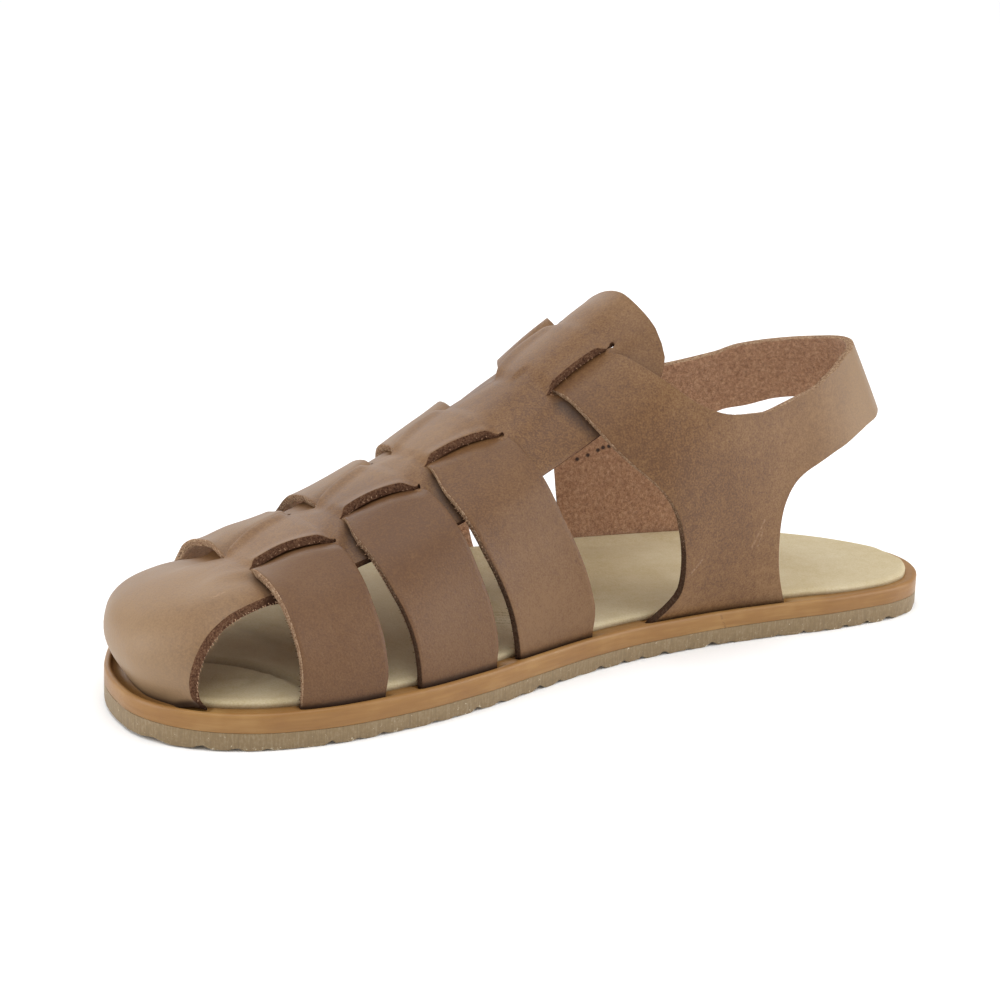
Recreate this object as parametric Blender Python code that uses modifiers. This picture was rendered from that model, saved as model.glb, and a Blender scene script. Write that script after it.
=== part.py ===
"""Barefoot sandal for the right foot: a threaded leather upper on a thin flat sole.

Sizes are millimetres in plan from the back of the heel (x), across to the inner side of the foot (y)
and up from the floor (z).  They become metres where vertices are placed, with +X to the toe,
+Y to the wearer's left and the origin on the floor under the middle of the sandal.
"""
import math

import bmesh
import bpy
import numpy as np

MM = 0.001
ORIGIN = (92.0, -7.1)           # plan point that lies over the origin
GAP = 0.3                       # clearance between pieces that touch

# Sole
SOLE_LENGTH = 184.0
SOLE_TOP = 6.6                  # top of the midsole at the heel
TOE_SPRING = 0.4                # rise of the toe end
SPRING_START = 162.0            # where the rise begins
INSOLE_THICKNESS = 1.6
INSOLE_INSET = 3.9              # insole edge in from the sole edge, under the straps
HEEL_INSET = 2.5                # the same round the bare heel
INSET_CHANGE = (22.0, 38.0)     # stations between which one inset passes over into the other
LUG_PITCH = 5.5                 # ripples across the underside
LUG_DEPTH = 0.8
ROUND_START = 0.06              # turn left out at each round end of the sole
SOLE_OUTLINE = [
    # station, inner half width, outer half width
    (0.0, 0.0, 0.0),
    (4.0, 10.8, 12.2),
    (10.0, 15.6, 20.2),
    (18.0, 17.5, 27.0),
    (30.0, 17.7, 32.0),
    (45.0, 16.3, 35.7),
    (60.0, 15.5, 38.6),
    (75.0, 16.0, 40.7),
    (90.0, 18.2, 42.7),
    (105.0, 22.3, 44.3),
    (120.0, 26.7, 44.9),
    (135.0, 29.6, 43.8),
    (150.0, 30.7, 39.7),
    (162.0, 29.3, 33.2),
    (172.0, 25.6, 23.9),
    (179.0, 19.9, 13.0),
    (182.5, 14.3, 4.6),
    (184.0, 7.3, -7.3),
]
RUBBER_THICKNESS = [
    # station, height of the rubber at the edge
    (0.0, 3.0),
    (50.0, 2.8),
    (98.0, 2.1),
    (140.0, 3.2),
    (184.0, 3.7),
]

# Last: the foot form that the leather is pulled over
LEATHER = 1.6                   # thickness of the upper
RIM_INSET = 3.4                 # inner face of the leather at the sole, in from the sole edge
HEEL_PIVOT = 36.0               # behind this station the sections fan out round the heel
TOE_PIVOT = 160.0               # ahead of this one they fan out round the toe
TOE_REACH = 38.0                # leather from the toe pivot to the front edge
TUCK = 2.5                      # leather drawn past the rim before it is trimmed level
TRIM_MARGIN = 8.0               # the trimming block reaches this far past the sole
SECTION_STEPS = 36              # steps of a half section from ridge to rim
LAST = [
    # station, ridge y, ridge height, squareness, roll to the outer side, inner bulge, outer bulge
    (0.0, -8.0, 100.0, 1.2, 0.0, 0.0, 0.0),
    (5.0, -8.0, 100.0, 1.18, 0.0, 0.0, -0.5),
    (14.0, -8.0, 100.0, 1.2, 0.0, 0.0, -1.5),
    (28.0, -8.0, 100.0, 1.44, 0.0, 0.0, -3.0),
    (36.0, -8.0, 97.0, 1.55, 0.0, 0.5, -3.0),
    (60.0, -9.0, 76.0, 2.0, 0.0, 5.5, 1.0),
    (71.0, -8.9, 65.7, 2.0, -0.6, 6.5, 6.0),
    (90.0, -8.5, 53.0, 2.05, -0.3, 2.5, 3.5),
    (105.0, -6.5, 45.2, 2.1, 0.7, 1.0, -0.8),
    (120.0, -4.3, 38.0, 2.1, 1.1, 0.0, -0.8),
    (135.0, -2.2, 31.6, 2.1, 1.0, 0.0, -0.5),
    (150.0, -0.5, 27.0, 2.3, 0.9, 0.0, 1.0),
    (160.0, 0.5, 24.3, 2.6, 1.8, 0.5, 1.5),
    (172.0, 0.5, 24.3, 3.8, 1.6, 0.8, 2.0),
    (184.0, 0.5, 24.3, 4.4, 0.0, 1.6, 1.6),
]

# Vamp: toe cap, centre strip, side flanges and tongue in one piece
VAMP = [
    # station, half width over the ridge
    (69.0, 19.5),
    (70.0, 22.8),
    (72.5, 24.6),
    (84.0, 23.0),
    (99.0, 21.7),
    (119.0, 20.0),
    (140.0, 17.0),
    (160.0, 18.4),
]
CAP_EDGE = [
    # forward of the toe pivot, across: shares of the way to the rim
    (0.0, 0.48),
    (0.3, 0.515),
    (0.48, 0.555),
    (0.58, 0.61),
    (0.63, 0.777),
]
SLITS = [
    # rear station, half distance there, front station, half distance there
    (76.4, 9.4, 91.6, 8.0),
    (104.0, 10.4, 119.2, 6.4),
    (122.8, 9.6, 138.8, 5.8),
    (142.0, 10.4, 159.4, 11.6),
]
SLIT_RAMP = 2.2                 # length over which the strip climbs onto a strap
SLIT_OPENING = 0.8              # width of the cut
OVERLAP = 0.25                  # crossing pieces sink this far into each other
STRAPS = [
    # name, front at the ridge, front at the foot, rear at the ridge, rear at the foot, outer foot further back
    ("strap_toe", 158.8, 158.0, 142.6, 141.4, 0.0),
    ("strap_ball", 138.2, 133.4, 123.4, 114.6, 0.0),
    ("strap_instep", 119.4, 108.3, 105.0, 88.8, 4.6),
]
STRAP_CLIMB = (-1.5, 3.0)       # distances past the slit between which a strap climbs
STRAP_FALL = (1.0, 10.0)        # distances past the flange between which it falls back
STRAP_BEND = 0.2                # share of the half girth over which a strap turns at the ridge

# Quarter: stem on the sole, branch to the tongue slit and sling round the heel
FOOT = SOLE_TOP - TUCK          # low height of the leather that stands on the sole
QUARTER = [
    # low station, low height, knee, waist, shoulder, top station, top height
    (74.5, FOOT, 69.0, 73.5, 85.3, 91.2, 52.5),
    (58.0, FOOT, 58.0, 65.5, 79.0, 84.8, 56.4),
    (42.0, FOOT, 47.5, 58.3, 74.0, 80.2, 59.4),
    (44.5, 15.0, 48.5, 55.0, 64.5, 70.9, 53.7),
    (44.8, 24.0, 47.0, 51.2, 57.5, 63.8, 49.2),
    (43.4, 28.8, 45.1, 48.1, 52.8, 57.8, 47.5),
    (41.3, 31.6, 42.7, 44.8, 48.2, 51.5, 47.1),
    (36.6, 34.2, 37.7, 39.6, 42.5, 45.5, 47.6),
    (26.6, 37.4, 27.2, 28.4, 30.2, 32.0, 50.9),
    (13.0, 40.5, 13.2, 14.0, 15.0, 16.0, 54.5),
    (0.0, 42.0, 0.0, 0.0, 0.0, 0.0, 55.4),
]
OUTER_FRONT = [
    # first rows on the outer side, where the stem is hollowed more
    (74.5, FOOT, 67.9, 67.7, 79.5, 91.2, 52.5),
    (58.0, FOOT, 57.5, 63.5, 77.0, 84.8, 56.4),
]
OUTER_SHIFT = 4.6               # the outer stem stands this much nearer the heel
OUTER_RISE = 0.6                # lower edge of the sling is this much higher on the outer side
SLING_LEAN = 2.2                # the top of the sling leans in this far over the heel
LEAN_REACH = (8.0, 28.0)        # stations between which that lean dies out
RISE_REACH = 20.0               # height above the foot by which that rise is complete
COLUMN_AT = (0.0, 0.12, 0.333, 0.667, 1.0)  # places of low, knee, waist, shoulder and top
BRANCH_STOP = 3.0               # branch ends this far short of the ridge


def curve_through(xs, ys):
    """Smooth curve through a short column of values, without overshoot."""
    xs = np.array(xs, float)
    ys = np.array(ys, float)
    step = np.diff(xs)
    slope = np.diff(ys) / step
    tangent = np.concatenate([slope[:1], np.zeros(len(xs) - 2), slope[-1:]])
    for i in range(1, len(xs) - 1):
        if slope[i - 1] * slope[i] > 0:
            tangent[i] = 2 * slope[i - 1] * slope[i] / (slope[i - 1] + slope[i])

    def at(x):
        x = min(max(x, xs[0]), xs[-1])
        i = min(int(np.searchsorted(xs, x, side="right")) - 1, len(step) - 1)
        t = (x - xs[i]) / step[i]
        rise = ys[i + 1] - ys[i]
        bend = (tangent[i] + tangent[i + 1]) * step[i] - 2 * rise
        lean = 3 * rise - (2 * tangent[i] + tangent[i + 1]) * step[i]
        return ys[i] + t * (tangent[i] * step[i] + t * (lean + t * bend))

    return at


def columns(table):
    """One curve for each column of a table after its first."""
    keys = [row[0] for row in table]
    return [curve_through(keys, [row[k] for row in table]) for k in range(1, len(table[0]))]


def ease(x, low, high):
    """Soft step from 0 at low to 1 at high."""
    t = min(max((x - low) / (high - low), 0.0), 1.0)
    return t * t * (3 - 2 * t)


def turn_at(station):
    """Angle of a station on a half turn from heel to toe, which keeps both ends round."""
    return math.acos(min(max(1 - 2 * station / SOLE_LENGTH, -1.0), 1.0))


def station_at(turn):
    return SOLE_LENGTH / 2 * (1 - math.cos(turn))


OUTLINE_TURNS = [turn_at(row[0]) for row in SOLE_OUTLINE]
HALF_WIDTH = {
    1: curve_through(OUTLINE_TURNS, [row[1] for row in SOLE_OUTLINE]),
    -1: curve_through(OUTLINE_TURNS, [-row[2] for row in SOLE_OUTLINE]),
}
RUBBER_TOP = columns(RUBBER_THICKNESS)[0]
RIDGE_Y, RIDGE_Z, SQUARENESS, ROLL, INNER_BULGE, OUTER_BULGE = columns(LAST)
VAMP_HALF = columns(VAMP)[0]
CAP_ACROSS = columns(CAP_EDGE)[0]
SLIT_KEYS = [s for row in SLITS for s in (row[0], row[2])]
SLIT_HALVES = [s for row in SLITS for s in (row[1], row[3])]


def sole_edge(side, turn, inset):
    """Plan point of the sole edge on one side (1 inner, -1 outer), moved in by inset."""
    def at(angle):
        angle = min(max(angle, 0.0), math.pi)
        return np.array([station_at(angle), HALF_WIDTH[side](angle)])

    along = at(turn + 0.01) - at(turn - 0.01)
    along /= np.linalg.norm(along)
    outward = np.array([-along[1], along[0]]) * side
    return at(turn) - inset * outward


def spring(x):
    """Rise of the sole at a station."""
    reach = max(x - SPRING_START, 0.0) / (SOLE_LENGTH - SPRING_START)
    return TOE_SPRING * reach * reach


def sole_top(x):
    return SOLE_TOP + spring(x)


def section(side, station):
    """Half section of the last from its ridge down to the rim and a little past it."""
    pivot = min(max(station, HEEL_PIVOT), TOE_PIVOT)
    ridge = np.array([pivot, RIDGE_Y(pivot)])
    rim = sole_edge(side, turn_at(station), RIM_INSET)
    out = rim - ridge
    away = out / np.linalg.norm(out)
    foot = sole_top(rim[0])
    bulge = (INNER_BULGE if side > 0 else OUTER_BULGE)(station)
    power = 2 / SQUARENESS(station)
    angle = np.linspace(0, math.pi / 2, SECTION_STEPS + 1)
    reach = np.sin(angle) ** power
    height = np.cos(angle) ** power
    swell = bulge * 4 * height * (1 - height)
    plan = ridge + np.outer(reach, out) + np.outer(swell, away)
    rise = foot + (RIDGE_Z(station) - foot) * height + 2 * side * ROLL(station) * reach * height
    points = np.column_stack([plan, rise])
    end = points[-1] - points[-2]
    points = np.vstack([points, points[-1] + end / np.linalg.norm(end) * TUCK])
    lengths = np.concatenate([[0], np.cumsum(np.linalg.norm(np.diff(points, axis=0), axis=1))])
    return points, lengths


def girth(side, station):
    """Leather from the ridge down to the rim."""
    return section(side, station)[1][SECTION_STEPS]


TOE_GIRTH = {side: girth(side, TOE_PIVOT) for side in (1, -1)}


def on_section(side, station, distance):
    points, lengths = section(side, station)
    return np.array([np.interp(distance, lengths, points[:, k]) for k in range(3)])


def on_last(station, across):
    """Point of the last under a spot of the flat pattern: station along, distance from the ridge."""
    side = 1 if across >= 0 else -1
    if station <= TOE_PIVOT:
        return on_section(side, station, abs(across))
    forward = (station - TOE_PIVOT) / TOE_REACH
    sideways = abs(across) / TOE_GIRTH[side]
    fan = math.atan2(sideways, forward) / (math.pi / 2)
    turn = math.pi - fan * (math.pi - turn_at(TOE_PIVOT))
    front = station_at(turn)
    return on_section(side, front, math.hypot(forward, sideways) * girth(side, front))


def lifted(place, u, v, level):
    """Point at a level over the surface that place(u, v) describes, with u and v right-handed."""
    step = 0.25
    along = place(u + step, v) - place(u - step, v)
    across = place(u, v + step) - place(u, v - step)
    normal = np.cross(along, across)
    return place(u, v) + level * normal / np.linalg.norm(normal)


def metres(point):
    return ((point[0] - ORIGIN[0]) * MM, (point[1] - ORIGIN[1]) * MM, point[2] * MM)


def slit_half(station):
    return float(np.interp(station, SLIT_KEYS, SLIT_HALVES))


def lift(station, distance):
    """Level of a strap: under the centre strip, up over the flange, and down to the last again."""
    up = ease(distance - slit_half(station), *STRAP_CLIMB)
    down = ease(distance - VAMP_HALF(station), *STRAP_FALL)
    return (LEATHER - OVERLAP) * up * (1 - down)


def material(name, colour, roughness):
    made = bpy.data.materials.new(name)
    made.use_nodes = True
    shader = made.node_tree.nodes["Principled BSDF"]
    shader.inputs["Base Color"].default_value = (*colour, 1.0)
    shader.inputs["Roughness"].default_value = roughness
    shader.inputs["Metallic"].default_value = 0.0
    return made


def add_object(name, bm, home, finish):
    mesh = bpy.data.meshes.new(name)
    bm.to_mesh(mesh)
    bm.free()
    made = bpy.data.objects.new(name, mesh)
    home.objects.link(made)
    if finish is None:
        made.hide_render = True
        made.display_type = "WIRE"
    else:
        mesh.materials.append(finish)
    return made


def sole_slab(name, inset, bottom, top, stations, home, finish):
    """Layer with the sole's outline: a grid laid on its underside, then drawn up to its top."""
    bm = bmesh.new()
    rows = len(stations) - 1
    bmesh.ops.create_grid(bm, x_segments=rows, y_segments=2, size=1.0)
    for vert in bm.verts:
        turn = turn_at(stations[round((vert.co.x + 1) / 2 * rows)])
        share = (vert.co.y + 1) / 2
        inner = sole_edge(1, turn, inset(station_at(turn)))
        outer = sole_edge(-1, turn, inset(station_at(turn)))
        x, y = outer + (inner - outer) * share
        vert.co = metres((x, y, bottom(x)))
    drawn = bmesh.ops.extrude_face_region(bm, geom=bm.faces[:])["geom"]
    for vert in (item for item in drawn if isinstance(item, bmesh.types.BMVert)):
        x = vert.co.x / MM + ORIGIN[0]
        vert.co.z = top(x) * MM
    bmesh.ops.recalc_face_normals(bm, faces=bm.faces[:])
    return add_object(name, bm, home, finish)


def leather(made):
    """Give an open sheet the thickness of the leather, away from the last."""
    thick = made.modifiers.new("thickness", "SOLIDIFY")
    thick.thickness = LEATHER * MM
    thick.offset = 1.0
    return made


def sheet(name, rows, cols, place, home, finish):
    """Grid whose row and column numbers place() turns into points in millimetres."""
    bm = bmesh.new()
    bmesh.ops.create_grid(bm, x_segments=rows, y_segments=cols, size=1.0)
    for vert in bm.verts:
        row = round((vert.co.x + 1) / 2 * rows)
        col = round((vert.co.y + 1) / 2 * cols)
        vert.co = metres(place(row, col))
    return add_object(name, bm, home, finish)


def vamp_rows():
    """Stations of the vamp's rows: tongue corner, slit ends, and even steps inside each slit."""
    rows = [row[0] for row in VAMP[:3]]
    for rear, _, front, _ in SLITS:
        inside = np.linspace(rear + SLIT_RAMP, front - SLIT_RAMP, 4)
        rows += [rear, *inside, front]
    return rows + [TOE_PIVOT]


def cap_spot(share, b):
    """Spot of the toe cap: share of the way to the front edge, b from -1 outer to 1 inner."""
    cap_foot = CAP_EDGE[-1]
    corner = math.atan2(cap_foot[1], cap_foot[0])
    back = np.array([0.0, CAP_EDGE[0][1] * b])
    front = np.array([math.cos(corner * b), math.sin(corner * b)])
    forward = share * cap_foot[0]
    side = np.array([forward, CAP_ACROSS(forward)])
    chord = np.array([forward, CAP_EDGE[0][1] + share * (math.sin(corner) - CAP_EDGE[0][1])])
    bow = (side - chord) * abs(b)
    spot = back * (1 - share) + front * share
    return spot + bow * np.array([1.0, math.copysign(1.0, b)])


def vamp(home, finish):
    """Vamp with its slits cut and the strip between them lifted over the straps."""
    stations = vamp_rows()
    cap_rows = 9
    rows = len(stations) - 1 + cap_rows
    flange_cols, strip_cols = 3, 6
    cols = 2 * flange_cols + strip_cols
    cuts = (flange_cols, flange_cols + strip_cols)

    def share_across(station, col):
        slit = slit_half(station)
        edge = VAMP_HALF(station)
        return float(np.interp(col, (0, cuts[0], cuts[1], cols), (-edge, -slit, slit, edge)))

    def spot(row, col):
        if row < len(stations):
            return stations[row], share_across(stations[row], col)
        share = min((row - len(stations) + 1) / (cap_rows - 1), 1.0)
        b = share_across(TOE_PIVOT, col) / VAMP_HALF(TOE_PIVOT)
        forward, sideways = cap_spot(share, b)
        if row == rows:
            forward, sideways = np.array([forward, sideways]) * (1 + TUCK / TOE_REACH)
        girth_here = TOE_GIRTH[1 if sideways >= 0 else -1]
        return TOE_PIVOT + forward * TOE_REACH, sideways * girth_here

    bm = bmesh.new()
    bmesh.ops.create_grid(bm, x_segments=rows, y_segments=cols, size=1.0)
    row_of = bm.verts.layers.int.new("row")
    col_of = bm.verts.layers.int.new("col")
    for vert in bm.verts:
        vert[row_of] = round((vert.co.x + 1) / 2 * rows)
        vert[col_of] = round((vert.co.y + 1) / 2 * cols)
    slit_rows = [(stations.index(slit[0]), stations.index(slit[2])) for slit in SLITS]

    def on_slit(made):
        low, high = sorted(vert[row_of] for vert in made.verts)
        same = made.verts[0][col_of] == made.verts[1][col_of]
        cut = made.verts[0][col_of] in cuts
        return same and cut and any(rear <= low and high <= front for rear, front in slit_rows)

    bmesh.ops.split_edges(bm, edges=[made for made in bm.edges if on_slit(made)])
    for vert in bm.verts:
        row, col = vert[row_of], vert[col_of]
        inside = any(rear < row < front for rear, front in slit_rows)
        middle = np.mean([corner[col_of] for face in vert.link_faces for corner in face.verts])
        raised = inside and cuts[0] < middle < cuts[1]
        level = LEATHER - OVERLAP if raised else 0.0
        station, across = spot(row, col)
        if inside and col in cuts:
            half_cut = SLIT_OPENING / 2 * (-1 if raised else 1)
            across += math.copysign(half_cut, across * half_cut)
        vert.co = metres(lifted(on_last, station, across, level))
    return leather(add_object("upper", bm, home, finish))


def strap(name, front_ridge, front_foot, rear_ridge, rear_foot, outer_back, home):
    """Cross strap from the inner rim over the ridge to the outer rim."""
    rows, cols = 40, 4
    bend = math.hypot(1, STRAP_BEND) - STRAP_BEND

    def place(row, col):
        share = col / cols
        way = 1 - 2 * row / rows
        side = 1 if way >= 0 else -1
        slant = (math.hypot(way, STRAP_BEND) - STRAP_BEND) / bend
        back = outer_back if side < 0 else 0.0
        front = front_ridge + (front_foot - back - front_ridge) * slant
        rear = rear_ridge + (rear_foot - back - rear_ridge) * slant
        station = rear + (front - rear) * share
        full = girth(side, station) + TUCK
        across = abs(way) * full
        return lifted(on_last, station, side * across, lift(station, across))

    return leather(sheet(name, rows, cols, place, home, None))


def quarter(home):
    """Both quarters and the heel sling in one sheet, from the inner front edge round to the outer."""
    keys = list(range(len(QUARTER)))
    tables = {1: QUARTER, -1: OUTER_FRONT + QUARTER[len(OUTER_FRONT):]}
    turns = {side: [curve_through(keys, [turn_at(row[k]) for row in table]) for k in (0, 2, 3, 4, 5)]
             for side, table in tables.items()}
    low_z, top_z = (curve_through(keys, [row[k] for row in QUARTER]) for k in (1, 6))
    steps = 3                   # rows between two lines of the table
    half = steps * (len(QUARTER) - 1)
    rows, cols = 2 * half, 10

    def way_down(side, station, height):
        """Share of the way from ridge to rim at a height."""
        points, lengths = section(side, station)
        return float(np.interp(-height, -points[:, 2], lengths)) / girth(side, station)

    def place(row, col):
        side = 1 if row <= half else -1
        key = (half - abs(row - half)) / steps
        share = col / cols
        low_turn, top_turn = turns[side][0], turns[side][-1]
        path = curve_through(COLUMN_AT, [turn(key) for turn in turns[side]])
        station = station_at(path(share))
        low_height = low_z(key)
        if side < 0:
            station -= OUTER_SHIFT * (1 - share) ** 2 * ease(station, 0, HEEL_PIVOT)
            low_height += OUTER_RISE * ease(low_height - FOOT, 0, RISE_REACH)
        low = way_down(side, station_at(low_turn(key)), low_height)
        top_station = station_at(top_turn(key))
        top = max(way_down(side, top_station, top_z(key)), BRANCH_STOP / girth(side, top_station))
        distance = (low + (top - low) * share) * girth(side, station)
        lean = SLING_LEAN * share * (1 - ease(station, *LEAN_REACH))
        return lifted(around, station * side, distance, lift(station, distance) - lean)

    def around(signed, distance):
        """Last by signed station (inner side positive) and distance from the ridge."""
        side = 1 if signed >= 0 else -1
        return on_section(side, abs(signed), max(distance, 0.0))

    return leather(sheet("quarter", rows, cols, place, home, None))


def sole_stations(count):
    """Even turns from heel to toe, which are close together at the round ends."""
    turns = np.linspace(ROUND_START, math.pi - ROUND_START, count + 1)
    return [station_at(turn) for turn in turns]


def lug_stations():
    """Stations at the foot and crest of each ripple, with the round ends filled in."""
    marks = np.arange(LUG_PITCH, SOLE_LENGTH - LUG_PITCH, LUG_PITCH / 4)
    ends = [x for x in sole_stations(36) if x < marks[0] - GAP or x > marks[-1] + GAP]
    return sorted([*ends, *marks])


def ripple(x):
    """Underside of the rubber: flat crests on the floor with round furrows between them."""
    wave = math.sin(2 * math.pi * x / LUG_PITCH)
    return spring(x) + LUG_DEPTH * max(wave, 0.0)


def insole_inset(x):
    return HEEL_INSET + (INSOLE_INSET - HEEL_INSET) * ease(x, *INSET_CHANGE)


def join(base, tool, operation):
    made = base.modifiers.new(tool.name, "BOOLEAN")
    made.operation = operation
    made.solver = "EXACT"
    made.object = tool


def build():
    for old in list(bpy.data.objects):
        bpy.data.objects.remove(old)
    parts = bpy.data.collections.new("barefoot_sandal")
    tools = bpy.data.collections.new("cutters")
    for made in (parts, tools):
        bpy.context.scene.collection.children.link(made)

    rubber = material("rubber", (0.20, 0.155, 0.105), 0.6)
    board = material("welt_leather", (0.45, 0.20, 0.06), 0.5)
    sock = material("sock_leather", (0.62, 0.50, 0.34), 0.75)
    brown = material("brown_leather", (0.23, 0.12, 0.075), 0.6)

    def rubber_top(x):
        return RUBBER_TOP(x) + spring(x)

    sole_slab("outsole", lambda x: 0.0, ripple, rubber_top, lug_stations(), parts, rubber)
    sole_slab("midsole", lambda x: 0.0, lambda x: rubber_top(x) + GAP, sole_top,
              sole_stations(44), parts, board)
    sole_slab("insole", insole_inset, lambda x: sole_top(x) + GAP,
              lambda x: sole_top(x) + INSOLE_THICKNESS, sole_stations(44), parts, sock)

    upper = vamp(parts, brown)
    for row in STRAPS:
        join(upper, strap(*row, tools), "UNION")
    join(upper, quarter(tools), "UNION")
    trim = sole_slab("trim", lambda x: -TRIM_MARGIN, lambda x: -TRIM_MARGIN, lambda x: sole_top(x) + GAP,
                     sole_stations(30), tools, None)
    join(upper, trim, "DIFFERENCE")


build()
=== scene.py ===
import math

import bmesh
import bpy
import numpy as np
from mathutils import Matrix, Vector


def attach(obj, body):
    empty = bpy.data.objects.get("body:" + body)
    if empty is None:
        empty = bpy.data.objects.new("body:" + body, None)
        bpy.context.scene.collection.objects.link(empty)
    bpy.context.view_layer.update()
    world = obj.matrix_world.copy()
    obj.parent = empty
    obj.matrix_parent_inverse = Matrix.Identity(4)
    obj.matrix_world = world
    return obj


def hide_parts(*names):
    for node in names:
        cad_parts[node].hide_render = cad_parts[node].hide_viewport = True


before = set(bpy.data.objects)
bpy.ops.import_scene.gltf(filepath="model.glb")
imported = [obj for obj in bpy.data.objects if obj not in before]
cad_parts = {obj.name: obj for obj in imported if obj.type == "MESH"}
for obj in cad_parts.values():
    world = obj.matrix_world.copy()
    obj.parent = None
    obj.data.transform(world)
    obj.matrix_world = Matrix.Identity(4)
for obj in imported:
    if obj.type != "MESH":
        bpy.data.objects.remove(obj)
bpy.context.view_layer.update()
print("frame loaded:", ", ".join(sorted(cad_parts)))

mm = 0.001
dice = np.random.default_rng(28)

# the sole and the last, in mm: x from the heel, y to the inner side, z from the floor
shoe = {
    "length": 184.0,
    "middle": (92.0, -7.1),       # plan point over the origin
    "soleTop": 6.6,
    "toeSpring": 0.4,
    "springStart": 162.0,
    "leather": 1.6,
    "leatherEdge": (0.25, 42.0),  # rounding, and the angle from which it counts as an edge
    "rimInset": 3.4,              # inner face of the leather at the sole
    "toeInset": 1.8,              # so much further in at the toe
    "toeRim": (174.0, 182.0),     # from one of these stations to the other
    "toeSkew": 0.25,              # lifts the toe's bulge
    "toeNose": (172.0, 180.0),
    "tail": 4.0,                  # the last goes on so far under its rim
    "heelPivot": 36.0,
    "toePivot": 160.0,
    "toeReach": 38.0,
    "footTuck": 0.5,              # leather that goes down into the groove
    "footShade": (0.3, 1.5),       # heights between which painted shade darkens it
}
soleOutline = [
    # station, inner half width, outer half width
    (0.0, 0.0, 0.0),
    (4.0, 10.8, 12.2),
    (10.0, 15.6, 20.2),
    (18.0, 17.5, 27.0),
    (30.0, 17.7, 32.0),
    (45.0, 16.3, 35.7),
    (60.0, 15.5, 38.6),
    (75.0, 16.0, 40.7),
    (90.0, 18.2, 42.7),
    (105.0, 22.3, 44.3),
    (120.0, 26.7, 44.9),
    (135.0, 29.6, 43.8),
    (150.0, 30.7, 39.7),
    (162.0, 29.3, 33.2),
    (172.0, 25.6, 23.9),
    (179.0, 19.9, 13.0),
    (182.5, 14.3, 4.6),
    (184.0, 7.3, -7.3),
]
lastShape = [
    # station, ridge y, ridge height, squareness, roll to the outer side, inner bulge, outer bulge
    (0.0, -8.0, 100.0, 1.2, 0.0, 0.0, 0.0),
    (5.0, -8.0, 100.0, 1.18, 0.0, 0.0, -0.5),
    (14.0, -8.0, 100.0, 1.2, 0.0, 0.0, -1.5),
    (28.0, -8.0, 100.0, 1.44, 0.0, 0.0, -3.0),
    (36.0, -8.0, 97.0, 1.55, 0.0, 0.5, -3.0),
    (60.0, -9.0, 76.0, 2.0, 0.0, 5.5, 1.0),
    (71.0, -8.9, 65.7, 2.0, -0.6, 6.5, 6.0),
    (90.0, -8.5, 53.0, 2.05, -0.3, 2.5, 3.5),
    (105.0, -6.5, 45.2, 2.1, 0.7, 1.0, -0.8),
    (120.0, -4.3, 38.0, 2.1, 1.1, 0.0, -0.8),
    (135.0, -2.2, 31.6, 2.1, 1.0, 0.0, -0.5),
    (150.0, -0.5, 27.0, 2.3, 0.9, 0.0, 1.0),
    (160.0, 0.5, 24.0, 2.5, 1.8, 0.5, 1.5),
    (172.0, 0.5, 24.0, 3.2, 1.6, 1.4, 3.0),
    (184.0, 0.5, 24.0, 3.3, 0.0, 4.7, 4.7),
]


def curveThrough(xs, ys):         # smooth, with no overshoot
    xs = np.array(xs, float)
    ys = np.array(ys, float)
    step = np.diff(xs)
    slope = np.diff(ys) / step
    tangent = np.concatenate([slope[:1], np.zeros(len(xs) - 2), slope[-1:]])
    for i in range(1, len(xs) - 1):
        if slope[i - 1] * slope[i] > 0:
            tangent[i] = 2 * slope[i - 1] * slope[i] / (slope[i - 1] + slope[i])

    def at(x):
        x = np.clip(x, xs[0], xs[-1])
        i = np.clip(np.searchsorted(xs, x, side="right") - 1, 0, len(step) - 1)
        t = (x - xs[i]) / step[i]
        rise = ys[i + 1] - ys[i]
        bend = (tangent[i] + tangent[i + 1]) * step[i] - 2 * rise
        lean = 3 * rise - (2 * tangent[i] + tangent[i + 1]) * step[i]
        return ys[i] + t * (tangent[i] * step[i] + t * (lean + t * bend))

    return at


def splineThrough(xs, ys):        # softer, even bending
    xs = np.array(xs, float)
    ys = np.array(ys, float)
    step = np.diff(xs)
    count = len(xs)
    rows = np.eye(count)
    pull = np.zeros(count)
    for i in range(1, count - 1):
        rows[i, i - 1:i + 2] = step[i - 1], 2 * (step[i - 1] + step[i]), step[i]
        pull[i] = 6 * ((ys[i + 1] - ys[i]) / step[i] - (ys[i] - ys[i - 1]) / step[i - 1])
    bend = np.linalg.solve(rows, pull)

    def at(x):
        x = np.clip(x, xs[0], xs[-1])
        i = np.clip(np.searchsorted(xs, x, side="right") - 1, 0, count - 2)
        b = (x - xs[i]) / step[i]
        a = 1 - b
        curved = (a ** 3 - a) * bend[i] + (b ** 3 - b) * bend[i + 1]
        return a * ys[i] + b * ys[i + 1] + curved * step[i] ** 2 / 6

    return at


def columns(table):
    keys = [row[0] for row in table]
    return [curveThrough(keys, [row[k] for row in table]) for k in range(1, len(table[0]))]


def ease(x, low, high):
    t = np.clip((x - low) / (high - low), 0.0, 1.0)
    return t * t * (3 - 2 * t)


def over(x, rise, full, drop, end):  # up between the first two, down between the last two
    return ease(x, rise, full) * (1 - ease(x, drop, end))


def unit(arrow):
    return arrow / np.linalg.norm(arrow, axis=-1, keepdims=True)


def turnAt(station):
    return np.arccos(np.clip(1 - 2 * np.asarray(station) / shoe["length"], -1.0, 1.0))


def stationAt(turn):
    return shoe["length"] / 2 * (1 - np.cos(turn))


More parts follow.
